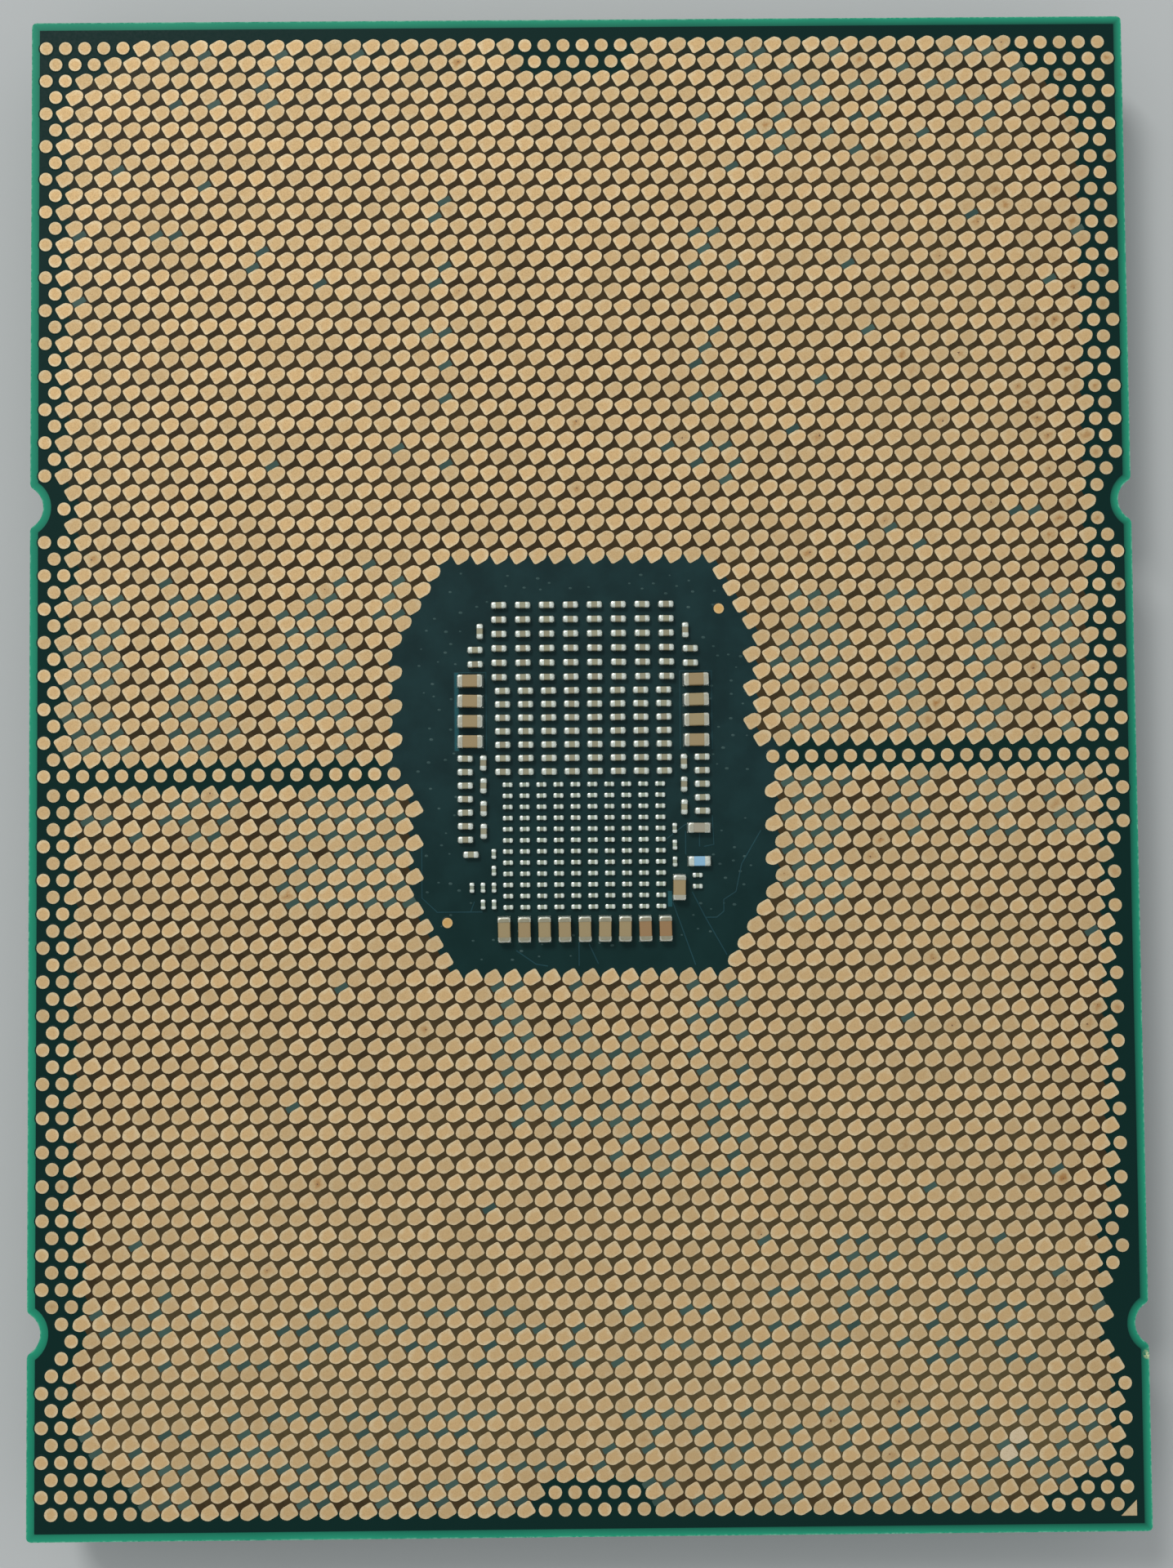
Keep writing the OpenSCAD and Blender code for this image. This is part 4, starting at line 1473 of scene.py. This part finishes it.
@dataclass
class ChipBank:
    """A group of chip components: ceramic bodies held between tin ends that run down into their solder."""

    name: str
    seed: int
    body_word: str = "bodies"
    hangs: bool = False
    shade: float = 0.4
    shade_scatter: float = 0.4
    turn_scatter: float = 0.025
    warm_from_mm: float | None = None
    plating_mm: float = 0.02
    body_round_mm: float = 0.05
    body_facet: float = 0.3
    end_round_mm: float = 0.09
    end_round_share: float = 0.26
    end_corner_mm: float = 0.11
    end_corner_share: float = 0.3
    end_corner_room: float = 0.9
    end_corner_steps: int = 3
    end_lean: float = 0.16
    dome_deg: tuple[float, ...] = (0, 28, 50, 70, 90)
    bead_from_mm: float = 0.5
    bead_mm: float = 0.04
    bead_segments: int = 8
    bead_rings: tuple[tuple[float, float], ...] = ((1.0, 0.0), (0.85, 1.6), (0.4, 2.4))

    def body(self, size: ChipSize) -> bpy.types.Object:
        """Ceramic body with rounded upper edges.

        Args:
            size: Sizes of the chip.

        Returns:
            The shape to repeat, standing on Z = 0.
        """
        x = (size.length / 2 - size.end) * MM
        y = (size.width / 2 - self.plating_mm) * MM
        low, high = self.plating_mm * MM, (size.height - self.plating_mm) * MM
        soft = self.body_round_mm * MM
        facet = self.body_facet * soft
        steps = [(0.0, low), (0.0, high - soft), (facet, high - facet), (soft, high)]
        return pattern("body_shape", stacked([(rectangle(x, y - inset), z) for inset, z in steps]))

    def end_outline(self, inner: float, tip: float, half_width: float, corner: float) -> Outline:
        """Outline of a chip's end in plan, with its two outer corners rounded.

        Args:
            inner: Distance from the chip's middle to the end's inner face, in millimetres.
            tip: Distance from the chip's middle to its tip.
            half_width: Half the width of the end.
            corner: Radius of the outer corners, where there is room for it.

        Returns:
            The outline in metres, anticlockwise.
        """
        r = min(corner, self.end_corner_room * min(half_width, tip - inner))
        points = [(inner, half_width), (inner, -half_width)]
        points += arc((tip - r, r - half_width), r, -90, 0, self.end_corner_steps)
        points += arc((tip - r, half_width - r), r, 0, 90, self.end_corner_steps)
        return scaled(points, MM)

    def end_pair(self, size: ChipSize) -> bpy.types.Object:
        """Both tin ends of a chip, round-cornered and domed, with beads of solder at a wide chip's corners.

        Args:
            size: Sizes of the chip.

        Returns:
            The shape to repeat, standing on Z = 0, whose points carry "core": 0 outside, 1 on the flat top.
        """
        half, inner = size.length / 2, size.length / 2 - size.end
        soft = min(self.end_round_mm, self.end_round_share * size.width)
        corner = min(self.end_corner_mm, self.end_corner_share * size.width)
        turns = [math.radians(a) for a in self.dome_deg]
        steps = [(size.height - soft * (1 - math.sin(a)), soft * (1 - math.cos(a))) for a in turns]
        solids, core = [], []
        for side in (1, -1):
            layers = []
            for rise, inset in [(0.0, 0.0)] + steps:
                lean = self.end_lean * size.end * (rise / size.height) ** 2
                outline = self.end_outline(inner, half - inset - lean, size.width / 2 - inset, corner)
                layers.append((scaled(outline, side), rise * MM))
                core += [inset / soft] * len(outline)
            solids.append(stacked(layers))
            if size.width > self.bead_from_mm:
                x, y = side * (half - self.bead_mm), size.width / 2 - self.bead_mm
                beads = [self.bead(x, -y), self.bead(x, y)]
                core += [0.0] * sum(len(points) for points, _ in beads)
                solids += beads
        obj = pattern("end_shape", *solids)
        carry(obj, "core", core)
        return obj

    def bead(self, x: float, y: float) -> Solid:
        """Bead of solder on the board.

        Args:
            x: Place along the chip, in millimetres.
            y: Place across the chip.

        Returns:
            The bead's vertices and faces.
        """
        r, middle = self.bead_mm * MM, (x * MM, y * MM)
        return stacked([(circle(width * r, self.bead_segments, middle), rise * r)
                        for width, rise in self.bead_rings])

    def read(self) -> dict[ChipSize, tuple[np.ndarray, np.ndarray]]:
        """Reads the chips from the frame.

        Returns:
            For each size of chip, the middles of the chips' feet and their turns in degrees.
        """
        bodies, ends = islands(f"{self.name}_{self.body_word}"), islands(f"{self.name}_ends")
        level = ends.high[:, 2].max() if self.hangs else ends.low[:, 2].min()
        kinds: dict[ChipSize, list[tuple[float, float, float, float]]] = {}
        for middle, extent in zip(bodies.centre, bodies.size):
            apart = (ends.centre - middle)[:, :2]
            nearest = np.argmin(np.hypot(*apart.T))
            along = int(abs(apart[nearest][1]) > abs(apart[nearest][0]))
            end = ends.size[nearest]
            sizes = (extent[along] + 2 * end[along], end[1 - along], end[2], end[along])
            size = ChipSize(*(round(float(v) / MM, 3) for v in sizes))
            kinds.setdefault(size, []).append((middle[0], middle[1], level, 90.0 * along))
        return {size: (np.array(rows)[:, :3], np.array(rows)[:, 3]) for size, rows in kinds.items()}

    def build(self, ceramics: Sequence[bpy.types.Material], tin: bpy.types.Material,
              slot: Slot = Slot.CERAMIC) -> None:
        """Builds the bodies and the ends, one piece of each for every size of chip in the group.

        Args:
            ceramics: Finish of the bodies of each size, from the widest down.
            tin: Finish of the ends.
            slot: Material slot of the bodies.
        """
        kinds = sorted(self.read().items(), key=lambda item: -item[0].width)
        for (size, (places, turns)), ceramic in zip(kinds, ceramics, strict=True):
            tints = np.full(len(places), self.shade)
            if self.warm_from_mm is not None:
                tints[places[:, 0] > self.warm_from_mm * MM] = 1.0
            word = self.name if len(kinds) == 1 else f"{self.name}_{round(size.width * 1000)}"
            stamped = functools.partial(stamp, places=places, turns=turns, tints=tints, seed=self.seed,
                                        turn_scatter=self.turn_scatter, tint_scatter=self.shade_scatter)
            bodies = stamped(word + "_ceramics", self.body(size), material=ceramic)
            ends = stamped(word + "_terminals", self.end_pair(size), material=tin)
            if self.hangs:
                for piece in (bodies, ends):
                    flip(piece, places[0, 2])
            hand_in(bodies, slot, f"{self.name}_{self.body_word}")
            hand_in(ends, Slot.TIN, f"{self.name}_ends")


def flip(piece: bpy.types.Object, level: float) -> None:
    """Turns a piece over, to hang down from a height.

    Args:
        piece: The piece, standing on that height.
        level: The height.
    """
    for vertex in piece.data.vertices:
        vertex.co.z = 2 * level - vertex.co.z
    piece.data.flip_normals()


@dataclass
class ChipSet:
    """All chip components, with the shades of their ceramics and of their plated ends.

    Small chips have the brightest tin. On large ones it shows a bright rim round a duller, warmer top, partly
    the tin's own tone and partly painted light that leaves the rim as a painted highlight.
    """

    tin: TinSolder = TinSolder()
    fine_tin: TinSolder = TinSolder("fine_tin_solder", "#ebf1e8", "#cbd3c7")
    # On the wide tins the top colour is duller than the rim, partly the tin's tone and partly painted light;
    # the end bank's top is darker still.
    wide_tin: TinSolder = TinSolder("tin_over_nickel", "#f2f5ec", "#dcdfd2", top="#b4b2a0")
    dull_tin: TinSolder = TinSolder("aged_tin_over_nickel", "#eff2e8", "#d4d6c8", top="#9d9982")
    grey: Ceramic = Ceramic("grey_ceramic", "#8f8d72", "#827a61")
    pale: Ceramic = Ceramic("pale_ceramic", "#8f9a87", "#7f8370")
    tan: Ceramic = Ceramic("tan_ceramic", "#94855f", "#8e6d46")
    rose: Ceramic = Ceramic("rose_ceramic", "#98937f", "#8b806e")
    blue: Ceramic = Ceramic("blue_ceramic", "#88b1c8", "#7aa6c2")
    warm_from_mm: float = 2.5

    def build(self) -> None:
        """Builds every group of chips."""
        tin, fine_tin, wide_tin = self.tin.material(), self.fine_tin.material(), self.wide_tin.material()
        grey, pale, tan = self.grey.material(), self.pale.material(), self.tan.material()
        small = {"upper_block": (grey, tin), "middle_block": (grey, tin), "lower_block": (pale, fine_tin),
                 "flank": (grey, tin), "scatter": (pale, fine_tin)}
        for seed, (name, (ceramic, plating)) in enumerate(small.items()):
            ChipBank(name, seed).build([ceramic], plating)
        large = functools.partial(ChipBank, shade=0.15, shade_scatter=0.2)
        large("side_bank", 0).build([tan], wide_tin)
        large("single", 1).build([tan, self.rose.material()], wide_tin)
        large("end_bank", 2, warm_from_mm=self.warm_from_mm).build([tan], self.dull_tin.material())
        ChipBank("blue_chip", 9, body_word="body").build([self.blue.material()], tin, Slot.BLUE_CERAMIC)
        ChipBank("inner_capacitor", 10, hangs=True).build([tan], tin)


@dataclass
class Package:
    """The board, its lid and what the lid covers, which keep their packed forms.

    Silicone is a dull near-black, polished silicon a dark mirror, indium a pale grey metal and filled epoxy
    charcoal.
    """

    board: GlassEpoxy = GlassEpoxy()
    lid: NickelPlate = NickelPlate()
    sealant: Cured = Cured("silicone_sealant", "#2b2c2f", "#1d1e20", roughness=0.6)
    die: Cured = Cured("polished_silicon", "#5a6470", "#4b5561", metallic=0.6, roughness=0.2)
    die_solder: Cured = Cured("indium_solder", "#c8cbd0", "#b3b6ba", metallic=1.0, roughness=0.4)
    underfill: Cured = Cured("filled_epoxy", "#34383d", "#272a2e", roughness=0.45)

    def build(self) -> None:
        """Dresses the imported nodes."""
        dress("substrate", self.board.material(*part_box("substrate")))
        covered = {"heat_spreader": self.lid, "lid_sealant": self.sealant, "silicon_die": self.die,
                   "die_solder": self.die_solder, "underfill": self.underfill}
        for node, finish in covered.items():
            dress(node, finish.material())


@dataclass
class Studio:
    """Pale floor, soft light and a camera that looks down on the lands."""

    focal_px: float = 2250.0
    camera_mm: tuple[float, float, float] = (-0.32, -4.9, 98.84)
    camera_turn_deg: tuple[float, float, float] = (2.41, -0.26, -0.5)
    clip_m: float = 0.005
    floor_colour: str = "#b4b6b5"
    floor_roughness: float = 0.8
    floor_specular: float = 0.2
    floor_half_m: float = 1.5
    world_colour: str = "#dfe3e6"
    world_strength: float = 0.84

    def floor(self) -> None:
        """Plain, pale floor at the level of the lid's face."""
        corners = [(x, y, CAD_BOX[0].z) for x, y in rectangle(self.floor_half_m, self.floor_half_m)]
        obj = mesh_object("floor", corners, [range(4)])
        surface = Surface("matte_floor", metallic=0.0, specular=self.floor_specular)
        surface.feed("Base Color", linear(self.floor_colour))
        surface.feed("Roughness", self.floor_roughness)
        obj.data.materials.append(surface.material)

    def lamp(self, name: str, place_m: tuple[float, float, float], size_m: float, watts: float) -> None:
        """Soft square lamp that faces the object.

        Args:
            name: Name of the lamp.
            place_m: Where it hangs, in metres.
            size_m: Width of its face.
            watts: Its power.
        """
        data = bpy.data.lights.new(name, "AREA")
        data.size = size_m
        data.energy = watts
        lamp = bpy.data.objects.new(name, data)
        lamp.location = place_m
        lamp.rotation_euler = (-Vector(place_m)).to_track_quat("-Z", "Y").to_euler()
        bpy.context.scene.collection.objects.link(lamp)

    def light(self) -> None:
        """Wide soft light from the far left, a smaller lamp that gives shadows an edge, and an even sky."""
        self.lamp("soft_light", (-0.15, 0.3, 0.6), size_m=0.8, watts=0.2)
        self.lamp("key_lamp", (-0.36, 0.58, 0.76), size_m=0.26, watts=5.0)
        world = bpy.data.worlds.new("soft_room")
        world.use_nodes = True
        background = world.node_tree.nodes["Background"]
        background.inputs["Color"].default_value = linear(self.world_colour)
        background.inputs["Strength"].default_value = self.world_strength
        bpy.context.scene.world = world
        bpy.context.scene.view_settings.view_transform = "Standard"

    def camera(self) -> None:
        """Camera at the place from which the photograph was taken."""
        data = bpy.data.cameras.new("camera")
        data.sensor_width = SENSOR_MM
        data.lens = self.focal_px / max(IMAGE_W, IMAGE_H) * SENSOR_MM
        data.clip_start = self.clip_m
        camera = bpy.data.objects.new("camera", data)
        camera.location = [v * MM for v in self.camera_mm]
        camera.rotation_euler = [math.radians(a) for a in self.camera_turn_deg]
        bpy.context.scene.collection.objects.link(camera)
        bpy.context.scene.camera = camera


def main() -> None:
    """Builds the whole scene and reports its pieces."""
    logging.basicConfig(level=logging.INFO, format="%(message)s")
    studio = Studio()
    studio.camera()
    studio.floor()
    studio.light()
    for assembly in (Package(), LandSide(), ChipSet()):
        LOG.info("%s:", type(assembly).__name__)
        assembly.build()


if __name__ == "__main__":
    main()
